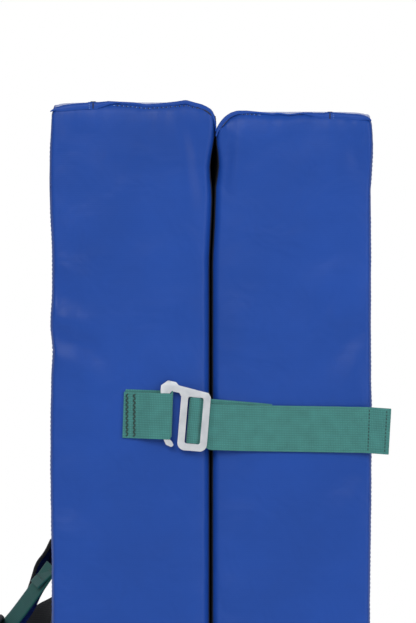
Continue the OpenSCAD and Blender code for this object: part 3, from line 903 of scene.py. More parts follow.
def cover_grid(half):
    """A closed box over a half, cut into a fine grid that is finest along its edges."""
    low, high = half_box(half)
    size = high - low
    bpy.ops.object.select_all(action="DESELECT")
    bpy.ops.mesh.primitive_cube_add(size=1, location=(low + high) / 2, scale=size)
    piece = in_place(new_piece(f"{half}_cover"))
    step = covers().grid
    cuts = (round(size.x / step), round(size.y / (2.6 * step)), round(size.z / (1.15 * step)))
    for axis, count in enumerate(cuts):
        only(piece)
        bpy.ops.object.mode_set(mode="EDIT")
        mesh = bmesh.from_edit_mesh(piece.data)
        for edge in mesh.edges:
            run = edge.verts[1].co - edge.verts[0].co
            edge.select_set(abs(run[axis]) > 0.5 * run.length)
        bmesh.update_edit_mesh(piece.data)
        bpy.ops.mesh.subdivide(number_cuts=count - 1)
        bpy.ops.object.mode_set(mode="OBJECT")
    places = points_of(piece)
    for axis, weight in enumerate((0.5, 0.65, 0.12)):
        share = (places[:, axis] - low[axis]) / size[axis]
        gathered = 0.5 - 0.5 * np.cos(share * math.pi)
        places[:, axis] = low[axis] + ((1 - weight) * share + weight * gathered) * size[axis]
    move_points(piece, places)
    return piece


def crown_by_cloth(piece, free, cap):
    """Lets the pressure of the foam crown the cloth between its seams, and keeps each move under cap."""
    start = points_of(piece)
    group = piece.vertex_groups.new(name="seams")
    group.add([int(i) for i in np.flatnonzero(~free)], 1.0, "REPLACE")
    only(piece)
    modifier = piece.modifiers.new("cloth", "CLOTH")
    cloth = modifier.settings
    last = 20
    cloth.quality = 4
    cloth.mass = 0.3
    cloth.tension_stiffness = cloth.compression_stiffness = 20
    cloth.bending_stiffness = 1.5
    cloth.use_pressure = True
    cloth.uniform_pressure_force = 4
    cloth.shrink_min = -0.004
    cloth.effector_weights.gravity = 0
    cloth.vertex_group_mass = group.name
    modifier.collision_settings.use_collision = False
    modifier.collision_settings.use_self_collision = False
    modifier.point_cache.frame_start, modifier.point_cache.frame_end = 1, last
    scene = bpy.context.scene
    for step in range(1, last + 1):
        scene.frame_set(step)
    bpy.ops.object.modifier_apply(modifier=modifier.name)
    scene.frame_set(1)
    piece.vertex_groups.clear()
    move = points_of(piece) - start
    # The end on the floor and the side with the hinge stay flat
    move[:, 2] = np.maximum(move[:, 2], FLOOR - start[:, 2])
    move[:, 1] = np.minimum(move[:, 1], BACK - start[:, 1])
    length = np.maximum(np.linalg.norm(move, axis=1), 1e-9)
    move_points(piece, start + move * (cap * np.tanh(length / cap) / length)[:, None])


def seam_row(half, table, start=None, end=None, step=1.5):
    """Points along a table of the end seam, in the plane of the closing wall."""
    table = np.array(table, float)
    start = table[0, 0] if start is None else start
    end = table[-1, 0] if end is None else end
    reach = np.arange(start, end + 0.01, step)
    depth = np.interp(reach, table[:, 0], table[:, 1]) * MM
    return np.column_stack([from_outer(half, reach * MM), np.full(len(reach), FRONT), half_top(half) - depth])


class MAT_OT_covers(bpy.types.Operator):
    """Sews the coated cover of each half, with its landing sheet and the foam inside"""
    bl_idname = "mesh.mat_covers"
    bl_label = "Covers"

    def execute(self, context):
        for half in HALVES:
            body = f"{half}_half"
            piece = cover_grid(half)
            box = points_of(piece)
            low, high = (np.array(c) for c in half_box(half))
            inner_x = high[0] if half == "carry" else low[0]
            on_landing = np.abs(box[:, 0] - inner_x) < 0.1 * MM
            edge = np.minimum(box - low, high - box)
            free = np.sort(edge, axis=1)[:, 1] > 5 * MM
            # The outer face starts a little slack, and the foam's pressure fills it
            slack = round_cover(half, box)
            slack[:, 0] -= OUT[half] * 0.9 * MM * (1 - ease(to_half(half, box), 0, 20 * MM))
            move_points(piece, slack)
            crown_by_cloth(piece, free & ~on_landing, 1.6 * MM)
            move_points(piece, worn_cover(half, points_of(piece)))
            self.landing_sheet(half, piece, on_landing & (edge[:, 1] > 4 * MM) & (edge[:, 2] > 4 * MM))
            nodes = [f"{half}_side_wall", f"{half}_base_sheet"]
            dress(piece, "cover", body, nodes, smooth=60)
            self.foam(half)
            self.edge_stitching(half, piece)
        return {"FINISHED"}

    def landing_sheet(self, half, cover, inside):
        """The landing cloth, sewn over the face of the cover that lies against the other half."""
        mesh = cover.data
        places = points_of(cover)
        kept = [tuple(p.vertices) for p in mesh.polygons if all(inside[v] for v in p.vertices)]
        used = sorted({v for face in kept for v in face})
        number = {v: i for i, v in enumerate(used)}
        bpy.ops.object.select_all(action="DESELECT")
        bpy.ops.mesh.primitive_plane_add(size=1)
        sheet = new_piece(f"{half}_landing_sheet_cloth")
        sheet.data.clear_geometry()
        sheet.data.from_pydata(places[used] - np.array([0.25 * MM * OUT[half], 0, 0]), [],
                               [[number[v] for v in face] for face in kept])
        modify(sheet, "SOLIDIFY", thickness=0.5 * MM, offset=0)
        outward(sheet)
        dress(sheet, "landing", f"{half}_half", [f"{half}_landing_sheet"], smooth=60)
        spans = np.ptp(points_of(sheet), axis=0)

    def foam(self, half):
        """The three foam slabs, cut a little smaller than the cover."""
        trim = 9 * MM
        slabs = (("landing_foam", 0.9, 5 * MM), ("core_foam", 1.0, 0), ("base_foam", 1.0, 6.5 * MM))
        for part, fill, inset in slabs:
            low, high = node_box(f"{half}_{part}")
            low, high = low + Vector((0.2 * MM, trim, trim)), high - Vector((0.2 * MM, trim, trim))
            if (half == "carry") == (part == "landing_foam"):
                high.x -= inset
            else:
                low.x += inset
            slab = block(f"{half}_{part}_slab", (low + high) / 2, high - low,
                         bevel=min(5 * MM, 0.4 * (high.x - low.x)))
            only(slab)
            bpy.ops.object.mode_set(mode="EDIT")
            bpy.ops.mesh.select_all(action="SELECT")
            bpy.ops.mesh.subdivide(number_cuts=30)
            bpy.ops.object.mode_set(mode="OBJECT")
            cut = points_of(slab)
            cut[:, 2] -= end_seam_drop(half, cut, 60 * MM) * ease(cut[:, 2], TOP - 60 * MM, TOP - 8 * MM)
            move_points(slab, lean_over(cut, half))
            dress(slab, "foam", f"{half}_half", [f"{half}_{part}"])

    def edge_stitching(self, half, cover):
        """A row of stitches round the outer face."""
        low, high = half_box(half)
        drop = surface_of(cover)
        inset = 14 * MM
        corners = [(low.y + inset, low.z + inset), (high.y - inset, low.z + inset),
                   (high.y - inset, high.z - inset), (low.y + inset, high.z - inset)]
        out, face_x = OUT[half], from_outer(half, 0)
        rows = []
        for a, b in zip(corners, corners[1:] + corners[:1]):
            line, _ = even_line([(face_x, *a), (face_x, *b)], 3 * covers().stitch_pitch)
            rows.append(drop(line, (-out, 0, 0)))
        piece = stitches(f"{half}_edge_stitching", rows, (out, 0, 0), covers().stitch_pitch,
                         2.6 * MM, 0.3 * MM)
        dress(piece, "cover_thread", f"{half}_half")


class MAT_OT_end_seams(bpy.types.Operator):
    """Sews the seam, its flange, the folded band and the zip tab on top of each closing wall"""
    bl_idname = "mesh.mat_end_seams"
    bl_label = "End seams"

    def execute(self, context):
        front = (0, -1, 0)
        for half in HALVES:
            body, table = f"{half}_half", TOP_SEAM[half]
            drop = surface_of(bpy.data.objects[f"{half}_cover"])
            # The flange: both layers of cloth stand up from the seam and follow it round the corner
            end = FLANGE_END[half]
            top = seam_row(half, table, BAND[half][1] - 1, end[0][0] - 2)
            corner = [(from_outer(half, inner * MM), FRONT, half_top(half) - down * MM)
                      for inner, down in end]
            line = smooth_line(np.vstack([top, corner]), 1.2 * MM, rounds=2)
            run = headings(line)
            away = np.column_stack([run[:, 2], 0 * run[:, 0], -run[:, 0]])
            away *= np.sign(away[0, 2])
            reach = to_half(half, line) / MM
            size = np.interp(reach, *zip(*FLANGE[half]))
            profile = np.array([(0.9, -3.2), (0.6, -2.2), (0.5, -1.1), (0.8, -0.2), (1.4, 0), (1.9, -0.5),
                                (2.2, -1.6), (2.4, -3.2)]) * MM
            places = line[:, None, :] + away[:, None, :] * profile[None, :, 1, None] * size[:, None, None]
            places[:, :, 1] += profile[None, :, 0]
            piece = laid_cloth(f"{half}_seam_flange", places, 0.5 * MM)
            dress(piece, "cover", body, smooth=60)
            # The band: the end cloth folded over the edge beside the zip, flat again at its end
            band_from, band_to, band_deep = BAND[half]
            line = seam_row(half, table, band_from, band_to + 10)
            profile = np.array([(0.12, -1), (-0.1, -0.93), (-0.25, -0.6), (-0.1, -0.32), (0.7, -0.1),
                                (2.4, 0), (5, -0.04), (9, -0.18), (16, -0.3)])
            reach = to_half(half, line) / MM
            deep = band_deep * ease(reach, -4, 11) * (1 - 0.8 * ease(reach, band_to - 12, band_to + 10))
            places = np.repeat(line[:, None, :], len(profile), axis=1)
            places[:, :, 1] += profile[None, :, 0] * MM
            places[:, :, 2] += profile[None, :, 1] * deep[:, None] * MM
            piece = laid_cloth(f"{half}_folded_band", places, 0.4 * MM)
            dress(piece, "cover", body, smooth=60)
            # The topstitch: pale stitches, with dark navy dots between them as painted shade in the needle
            # holes
            row = drop(seam_row(half, TOPSTITCH[half]), (0, 1, 0), 0.1 * MM)
            pitch = covers().stitch_pitch
            piece = stitches(f"{half}_topstitch", [row], front, pitch, 2.4 * MM, 0.36 * MM)
            dress(piece, "pale_thread", body)
            hole_shade = stitches(f"{half}_stitch_hole_shade", [row[2:]], front, pitch, 1.7 * MM, 0.55 * MM)
            dress(hole_shade, "dark_navy_and_painted_shade", body)
            # A thin dark navy cord along the corner seam: painted shadow in the seam's groove
            row = drop(seam_row(half, CORNER_SEAM[half], step=1.0), (0, 1, 0), 0.1 * MM)
            corner = bead(f"{half}_corner_seam_shadow", smooth_line(row, 1 * MM), 0.6 * MM, up=(0, 1, 0))
            dress(corner, "dark_navy_and_painted_shade", body)
            self.zip_tab(half, drop)
        return {"FINISHED"}

    def swept(self, half, name, line, profile, thickness):
        """A layer of cover cloth along the end seam, with its profile given outwards and up in mm."""
        profile = np.array(profile) * MM
        places = np.repeat(line[:, None, :], len(profile), axis=1)
        places[:, :, 1] += profile[None, :, 0]
        places[:, :, 2] += profile[None, :, 1]
        piece = laid_cloth(f"{half}_{name}", places, thickness)
        return dress(piece, "cover", f"{half}_half", smooth=60)

    def zip_tab(self, half, drop):
        """The stitched tab that covers the end of the zip at the closing side."""
        middle = 34.5
        line = seam_row(half, TOP_SEAM[half], middle - 4.2, middle + 4.2, 0.6)
        line[:, 2] = line[:, 2].mean()
        profile = [(-0.1, -6.0), (-0.3, -5.2), (-0.4, -3), (-0.2, -1.4), (0.6, 0.0), (2.4, 0.2), (6, 0.1),
                   (12, -0.3), (20, -0.7)]
        self.swept(half, "zip_tab", line, profile, 0.4 * MM)
        x, top = line[:, 0].mean(), line[0, 2]
        front = half_box(half)[0].y
        place = (x, front + 3.0 * MM, top + 0.15 * MM)
        nub = block(f"{half}_zip_end", place, in_mm(4.4, 5, 1.5), 0.5 * MM)
        dress(nub, "dark_navy_and_painted_shade", f"{half}_half")
        # A dark navy block in the tab's slit: painted shade inside the slit
        place = (x, front - 0.5 * MM, top - 2.8 * MM)
        slit_shade = block(f"{half}_zip_slit_shade", place, in_mm(1.1, 0.8, 5.0), 0.3 * MM)
        dress(slit_shade, "dark_navy_and_painted_shade", f"{half}_half")
        beside = x + OUT[half] * 3.1 * MM
        column = [(beside, front - 0.65 * MM, top - 5.6 * MM), (beside, front - 0.5 * MM, top - 0.8 * MM)]
        piece = stitches(f"{half}_tab_stitches", [column], (0, -1, 0), 1.9 * MM, 1.0 * MM, 0.25 * MM)
        dress(piece, "pale_thread", f"{half}_half")


class MAT_OT_hinge(bpy.types.Operator):
    """Lays the cloth hinge that joins the halves at the back"""
    bl_idname = "mesh.mat_hinge"
    bl_label = "Hinge"

    def execute(self, context):
        low, high = node_box("hinge_strip", "hinge_flap")
        back = BACK / MM
        # The edges of the cloth and its fold along X, in mm, and where it bends
        x0, x1, fold = 40.0, 94.0, FOLD / MM
        line = rounded_line([(x0, back + 0.8, 0), (fold - 6, back + 0.9, 0), (fold - 1.6, back + 1.3, 0),
                             (fold, back + 2.1, 0), (fold + 1.6, back + 1.3, 0), (fold + 6, back + 0.9, 0),
                             (x1, back + 0.8, 0)], 1.5)
        line[:, 2] = (low.z + high.z) / 2
        piece = strip("hinge_cloth", line, (0, 0, 1), high.z - low.z, 0.8 * MM, step=1 * MM, columns=161,
                      selvage=0)
        dress(piece, "cover", None, ["hinge_strip", "hinge_flap"], smooth=60)
        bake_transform(piece)
        rows = {"carry": (44, 48), "swing": (86, 90)}
        for half, columns in rows.items():
            lines = [[(x * MM, BACK + 1.15 * MM, low.z + 6 * MM), (x * MM, BACK + 1.15 * MM, high.z - 6 * MM)]
                     for x in columns]
            piece = stitches(f"{half}_hinge_stitching", lines, (0, 1, 0), covers().stitch_pitch, 2.6 * MM,
                             0.3 * MM)
            dress(piece, "cover_thread", f"{half}_half")
        return {"FINISHED"}


# ---------------------------------------------------------------- closing straps

# The middle of the hook's bar, and how far the closing straps are from the mat's ends
HOOK_X = FOLD - 14.4 * MM
CLOSURE_INSET = 263 * MM


def closure_height(closure):
    """Height of the middle of a closing strap's hook."""
    return {"upper": TOP - CLOSURE_INSET, "lower": CLOSURE_INSET}[closure]


class MAT_OT_closures(bpy.types.Operator):
    """Makes the webbing loops, the hook buckles and their straps"""
    bl_idname = "mesh.mat_closures"
    bl_label = "Closing straps"

    def execute(self, context):
        for closure in CLOSURES:
            self.loop(closure)
            self.hook(closure)
            self.strap(closure)
        return {"FINISHED"}

    def loop(self, closure):
        """The webbing loop: flat on the wall, round the bight and back, sewn with two zigzag rows."""
        low, high = node_box(f"{closure}_loop")
        x0, x1, middle = low.x / MM, high.x / MM - 2.4, (low.z + high.z) / 2 / MM
        front, t = FRONT / MM, straps().web_thickness / MM
        face = low.y / MM + t / 2
        slope, sewn = 0.035, front - 0.85

        def tilt(x):
            """Height of the loop's middle, which leans a little with the pull of the strap."""
            return middle - (x - x0 - 20) * slope

        path = [(x0, sewn, 0), (x1 - t / 2, sewn, 0), (x1 - t / 2, face, 0),
                (x0 + 22, face, 0), (x0 + 13, sewn - 0.05 - t, 0), (x0, sewn - 0.05 - t, 0)]
        line = rounded_line(path, 1.9)
        line[:, 2] = [tilt(p[0] / MM) * MM for p in line]
        # The layer on the wall shows a little above the one that folds back over it
        back = len(line) // 2 - 2
        line[:back, 2] += 2.2 * MM
        piece = strip(f"{closure}_loop_webbing", line, (slope, 0, 1), straps().web_width,
                      straps().web_thickness, step=0.85 * MM)
        dress(piece, "webbing", "carry_half", [f"{closure}_loop"])
        drop = surface_of(piece)
        rows = []
        for x in (x0 + 3.1, x0 + 9.1):
            zig = [(x + (1.1 if k % 2 else -1.1), front - 20, tilt(x) + h)
                   for k, h in enumerate(np.linspace(-17.6, 17.6, 20))]
            rows.append(drop([in_mm(*p) for p in zig], (0, 1, 0), 0.25 * MM))
        piece = zigzag(f"{closure}_loop_stitching", rows)
        dress(piece, "thread", "carry_half")

    def hook(self, closure):
        """The hook buckle, with its stamped edges broken."""
        piece = copy_of_node(f"{closure}_hook", f"{closure}_hook_buckle")
        # Edges through the plate's thickness are rounded first, as its blanking die leaves them
        bpy.ops.object.mode_set(mode="EDIT")
        bpy.ops.mesh.select_mode(type="EDGE")
        bpy.ops.mesh.select_all(action="DESELECT")
        mesh = bmesh.from_edit_mesh(piece.data)
        corner, radius = math.radians(35), 1.7 * MM
        for edge in mesh.edges:
            run = edge.verts[1].co - edge.verts[0].co
            sides = [e.calc_length() for v in edge.verts for e in v.link_edges if e is not edge]
            turned = edge.calc_face_angle(0) > corner and min(sides) > 2.1 * radius
            edge.select_set(abs(run.y) > 0.98 * run.length and turned)
        bmesh.update_edit_mesh(piece.data)
        bpy.ops.mesh.bevel(offset=radius, segments=4, affect="EDGES")
        self.round_foot(closure, piece)
        bpy.ops.object.mode_set(mode="OBJECT")
        break_edges(piece, 0.55 * MM)
        dress(piece, "hook", f"{closure}_hook", [f"{closure}_hook"], smooth=40)

    def round_foot(self, closure, piece):
        """Rounds the two lower corners of the hook's frame, in edit mode."""
        lean, radius = straps().lean, 6.0 * MM
        middle = Vector((HOOK_X, 0, closure_height(closure)))
        along = Vector((math.cos(lean), 0, -math.sin(lean)))
        up = Vector((math.sin(lean), 0, math.cos(lean)))
        mesh = bmesh.from_edit_mesh(piece.data)
        wide = max((v.co - middle) @ along for v in mesh.verts)
        foot = min((v.co - middle) @ up for v in mesh.verts)
        for edge in mesh.edges:
            ends = [v.co - middle for v in edge.verts]
            run, place = ends[1] - ends[0], (ends[0] + ends[1]) / 2
            slanted = min(abs(run @ along), abs(run @ up)) > 3.5 * MM
            edge.select_set(slanted and place @ up < foot + radius and abs(place @ along) < wide)
        bmesh.update_edit_mesh(piece.data)
        bpy.ops.mesh.subdivide(number_cuts=9)
        mesh = bmesh.from_edit_mesh(piece.data)
        for side in (-1, 1):
            centre = middle + along * side * (wide - radius) + up * (foot + radius)
            for v in mesh.verts:
                beside, above = (v.co - centre) @ along * side, (v.co - centre) @ up
                out = math.hypot(beside, above)
                near = -0.05 * MM < beside < radius + 0.2 * MM and above < 0.05 * MM
                if near and out > 0.55 * radius:
                    v.co += (along * side * beside + up * above) * (radius / out - 1)
        bmesh.update_edit_mesh(piece.data)

    def strap(self, closure):
        """The strap from its seam on the far half, round the bar of the hook and out to its free tail."""
        settings = straps()
        front, t = FRONT / MM, settings.web_thickness / MM
        x0 = HOOK_X / MM
        z0 = closure_height(closure) / MM
        lean = math.tan(settings.lean)
        # Where the webbing turns over the bar, where its tail lies, and how far each slot is from the bar
        turn, over = node_box(f"{closure}_hook")[0].y / MM + 0.2, front - 3.15
        slot = 4.35
        anchor = node_box(f"{closure}_anchor")[1].x / MM - x0
        sewn = front - 0.9
        under = [(anchor, sewn), (20, sewn - 0.05), (6, sewn - 0.3), (-slot, sewn - 0.4),
                 (-slot, turn + 2.6), (-slot + 1.0, turn + 1.1), (-slot + 2.3, turn + 0.3), (0, turn - 0.15),
                 (slot - 2.3, turn + 0.3), (slot - 1.0, turn + 1.1), (slot, turn + 2.6), (slot, over + 0.1)]
        line = rounded_line([(x0 + x, y, z0 - x * lean) for x, y in under], 1.0)
        up = (math.sin(settings.lean), 0, math.cos(settings.lean))
        weave = {"width": settings.web_width, "thickness": settings.web_thickness, "step": 0.85 * MM}
        piece = strip(f"{closure}_strap_webbing", line, up, **weave)
        dress(piece, "webbing", None, [f"{closure}_anchor"])
        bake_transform(piece)
        end = node_box(f"{closure}_strap")[1].x / MM - x0 - 1.2
        drop = settings.tail_drop / MM
        # How far below the hook's middle the tail runs, by distance from it
        sag = [(slot, 0.35), (9, 0.5 * drop), (14, 0.95 * drop), (40, drop + 0.6), (90, drop + 1.4),
               (142, drop + 2.2), (end, drop + 3.6)]
        # How far off the wall the tail lies, by the same distance: in under the side bar and out again
        lie = [(slot, turn + 2.2), (slot + 0.6, over - 0.4), (9, over + 0.1), (14.2, over + 0.1),
               (16.4, over - 1.5), (22, over - 1.7), (46, over - 0.9), (60, over - 0.3), (82, over + 0.3),
               (100, over + 0.1),
               (132, over - 0.5), (end - 14, over - 1.4), (end, over - 0.5)]
        reach = np.r_[slot, slot + 0.3, slot + 0.6, np.linspace(slot + 1.2, end, 90)]
        line = np.column_stack([x0 + reach, np.interp(reach, *zip(*lie)),
                                z0 - np.interp(reach, *zip(*sag))]) * MM
        turn_up = [(0, settings.lean), (slot, settings.lean), (26, settings.tail_slope),
                   (130, settings.tail_slope), (end, settings.tail_slope * 2.8)]
        angle = np.interp(reach, *zip(*turn_up))
        ups = np.column_stack([np.sin(angle), 0 * angle, np.cos(angle)])
        piece = strip(f"{closure}_tail_webbing", line, ups, curl=0.25 * MM, **weave)
        dress(piece, "webbing", f"{closure}_hook", [f"{closure}_strap"])
        hem_length = 19
        hem = line[reach > end - hem_length]
        inner = hem + np.array([0, t * MM + 0.02 * MM, 0])
        piece = strip(f"{closure}_tail_hem", inner, ups[reach > end - hem_length], **weave)
        dress(piece, "webbing", f"{closure}_hook")
        rows = []
        for back in (17.5, 3.0):
            at = int(np.argmin(np.abs(reach - (end - back))))
            rows.append([line[at] + ups[at] * h * MM - np.array([0, (t / 2 + 0.1) * MM, 0])
                         for h in np.linspace(-17.4, 17.4, 12)])
        piece = stitches(f"{closure}_tail_stitching", rows, (0, -1, 0), 2.9 * MM, 2.3 * MM, 0.42 * MM)
        dress(piece, "thread", f"{closure}_hook")
        # The box of stitches that holds the strap to the wall
        right, left = x0 + anchor - 2.5, x0 + anchor - 19
        y, reach = sewn - t / 2 - 0.1, 16.5
        corners = [(right, -reach), (right, reach), (left, reach), (left, -reach)]
        rows = boxed([in_mm(x, y, z0 - (x - x0) * lean + h) for x, h in corners])
        piece = stitches(f"{closure}_anchor_stitching", rows, (0, -1, 0), 2.9 * MM, 2.3 * MM, 0.4 * MM)
        dress(piece, "thread", "swing_half")


def zigzag(name, rows):
    """Zigzag rows: each stitch runs from one point to the next."""
    pairs = [[a, b] for row in rows for a, b in zip(row[:-1], row[1:])]
    return stitches(name, pairs, (0, -1, 0), 10 * MM, 3.0 * MM, 0.75 * MM)


# ---------------------------------------------------------------- handles

class MAT_OT_handles(bpy.types.Operator):
    """Makes the grab handle of each half, with its rubber grip"""
    bl_idname = "mesh.mat_handles"
    bl_label = "Handles"

    def execute(self, context):
        for half in HALVES:
            low, high = node_box(f"{half}_handle")
            x, y0, y1 = (low.x + high.x) / 2, high.y, low.y
            tab, t = 28 * MM, 2.0 * MM
            foot, head = low.z + tab, high.z - tab
            bow = y1 + t / 2
            points = [(x, y0 - t / 2, low.z), (x, y0 - t / 2, foot - 2 * MM), (x, bow, foot + 27 * MM),
                      (x, bow, head - 27 * MM), (x, y0 - t / 2, head + 2 * MM), (x, y0 - t / 2, high.z)]
            line = rounded_line([tuple(v / MM for v in p) for p in points], 14)
            piece = strip(f"{half}_handle_webbing", line, (1, 0, 0), straps().web_width, t, curl=0.3 * MM)
            dress(piece, "webbing", f"{half}_half", [f"{half}_handle"])
            rows = []
            for z0, z1 in ((low.z + 2.5 * MM, foot - 4 * MM), (head + 4 * MM, high.z - 2.5 * MM)):
                reach, y = 16 * MM, y0 - t - 0.15 * MM
                rows += boxed([(x - reach, y, z0), (x + reach, y, z0), (x + reach, y, z1),
                               (x - reach, y, z1)])
            piece = stitches(f"{half}_handle_stitching", rows, (0, -1, 0), 2.9 * MM, 2.3 * MM, 0.4 * MM)
            dress(piece, "thread", f"{half}_half")
            self.grip(half)
        return {"FINISHED"}

    def grip(self, half):
        """A rubber sleeve round the webbing, ribbed across."""
        low, high = node_box(f"{half}_handle_grip")
        middle, size = (low + high) / 2, high - low
        turn = np.linspace(0, 2 * math.pi, 32, endpoint=False)
        marks = np.linspace(-0.5, 0.5, 63)
        rings = []
        for mark in marks:
            end = 1 - 0.3 * max(0, (abs(mark) - 0.46) / 0.04) ** 2
            rib = 1 + 0.09 * math.cos(mark * size.z / (5 * MM) * 2 * math.pi) * (abs(mark) < 0.44)
            half_w, half_t = size.x / 2 * end, size.y / 2 * end * (0.92 + 0.08 * rib)
            across, out = np.cos(turn), np.sin(turn)
            shape = (np.abs(across) ** 5 + np.abs(out) ** 5) ** -0.2
            rings.append(np.column_stack([
                middle.x + across * shape * half_w, middle.y + out * shape * half_t * rib / 1.09,
                np.full(32, middle.z + mark * size.z)]))
        piece = closed_loft(f"{half}_grip", np.array(rings))
        dress(piece, "grip", f"{half}_half", [f"{half}_handle_grip"], smooth=50)


# ---------------------------------------------------------------- zips

class MAT_OT_zips(bpy.types.Operator):
    """Makes the zip on the top end of each half"""
    bl_idname = "mesh.mat_zips"
    bl_label = "Zips"

    def execute(self, context):
        for half in HALVES:
            low, high = node_box(f"{half}_zip")
            x, z = (low.x + high.x) / 2, half_top(half)
            width = high.x - low.x
            dip = lambda y: 1.7 * MM * (1 - ease(y - low.y, 0, 120 * MM))
            line = [(x, y, z + (0.55 + 0.12 * math.sin(y * 60)) * MM - dip(y))
                    for y in np.linspace(low.y, high.y, 120)]
            tape = strip(f"{half}_zip_tape", line, (1, 0, 0), width, 0.9 * MM, step=3 * MM, columns=15,
                         curl=-0.25 * MM, selvage=0)
            dress(tape, "zip_tape", f"{half}_half", [f"{half}_zip"], smooth=60)
            # Each coil is a row of loops whose heads meet in the middle
            rows = []
            for k, y in enumerate(np.arange(low.y + 2 * MM, high.y - 2 * MM, 1.25 * MM)):
                side = 1 if k % 2 else -1
                rows.append([(x + side * 2.9 * MM, y, z + 1.45 * MM - dip(y)),
                             (x - side * 0.5 * MM, y, z + 1.55 * MM - dip(y))])
            coil = stitches(f"{half}_zip_coil", rows, (0, 0, 1), 10 * MM, 3.4 * MM, 0.55 * MM)
            dress(coil, "zip_coil", f"{half}_half", smooth=60)
            edges = [[(x + side * (width / 2 - 2.2 * MM), y, z + 1.05 * MM - dip(y))
                      for y in np.linspace(low.y + 2 * MM, high.y - 2 * MM, 60)] for side in (-1, 1)]
            sewn = stitches(f"{half}_zip_stitching", edges, (0, 0, 1), covers().stitch_pitch, 2.6 * MM,
                            0.35 * MM)
            dress(sewn, "cover_thread", f"{half}_half")
            for part, body, width in (("slider", f"{half}_slider", 0.7), ("pull", f"{half}_pull", 0.35)):
                piece = copy_of_node(f"{half}_zip_{part}", f"{half}_zip_{part}_metal")
                break_edges(piece, width * MM)
                dress(piece, "zip_metal", body, [f"{half}_zip_{part}"], smooth=40)
        return {"FINISHED"}


# ---------------------------------------------------------------- harness

# The edge of each pad at the closing side and its other edge: distance from the wall's patch and height
# from the pad's seam, mm. The pads are flattened at the seam and turn as they run down
PAD_EDGES = {
    "left": [
        ((2.5, -8), (2.4, -10)), ((8.0, -20), (4.2, -19)), ((14.9, -28), (4.8, -28)),
        ((17.8, -38.3), (8, -38.8)), ((20.8, -48), (14, -48.5)), ((24.5, -58.2), (19, -60)),
        ((36, -72), (31, -75.5)), ((48, -89), (45, -92.5)), ((56, -112), (53, -115)),
        ((59, -141), (58, -142)), ((58, -170), (58, -170)), ((55, -195), (55, -195)),
        ((47, -240), (47, -240)), ((37, -285), (37, -285)), ((26, -325), (26, -325)),
        ((17, -352), (17, -352))],
    "right": [
        ((4.2, -25), (3.6, -22.5)), ((4.6, -35), (8, -25.5)), ((8, -45), (16, -29.5)),
        ((18, -56), (25, -35.5)), ((30, -67), (36, -47.5)), ((41, -80), (46, -64)),
        ((49, -99), (52, -86)), ((53, -126), (54, -120)), ((49, -167), (49, -165)),
        ((41, -210), (41, -210)), ((31, -255), (31, -255)), ((21, -292), (21, -292)),
        ((14, -318), (14, -318))],
}
# Height of each pad's seam on the yoke, mm, and the angle at which the pads spread
PAD_SEAM = {"left": 636, "right": 594}
SPREAD = math.radians(8)


def shoulder(side, points):
    """Places a shoulder strap's points, given as distance from the patch, sideways and up, in mm."""
    sign = -1 if side == "left" else 1
    base = node_box("carry_base_sheet")[0].x / MM - 1.5
    spread, beside = sign * SPREAD, 70
    placed = []
    for out, across, up in points:
        placed.append((base - out, sign * beside + across * math.cos(spread) - up * math.sin(spread),
                       PAD_SEAM[side] + across * math.sin(spread) + up * math.cos(spread)))
    return np.array(placed) * MM


def shoulder_across(side):
    """The direction of a shoulder strap's width."""
    spread = (-1 if side == "left" else 1) * SPREAD
    return np.array([0, math.cos(spread), math.sin(spread)])


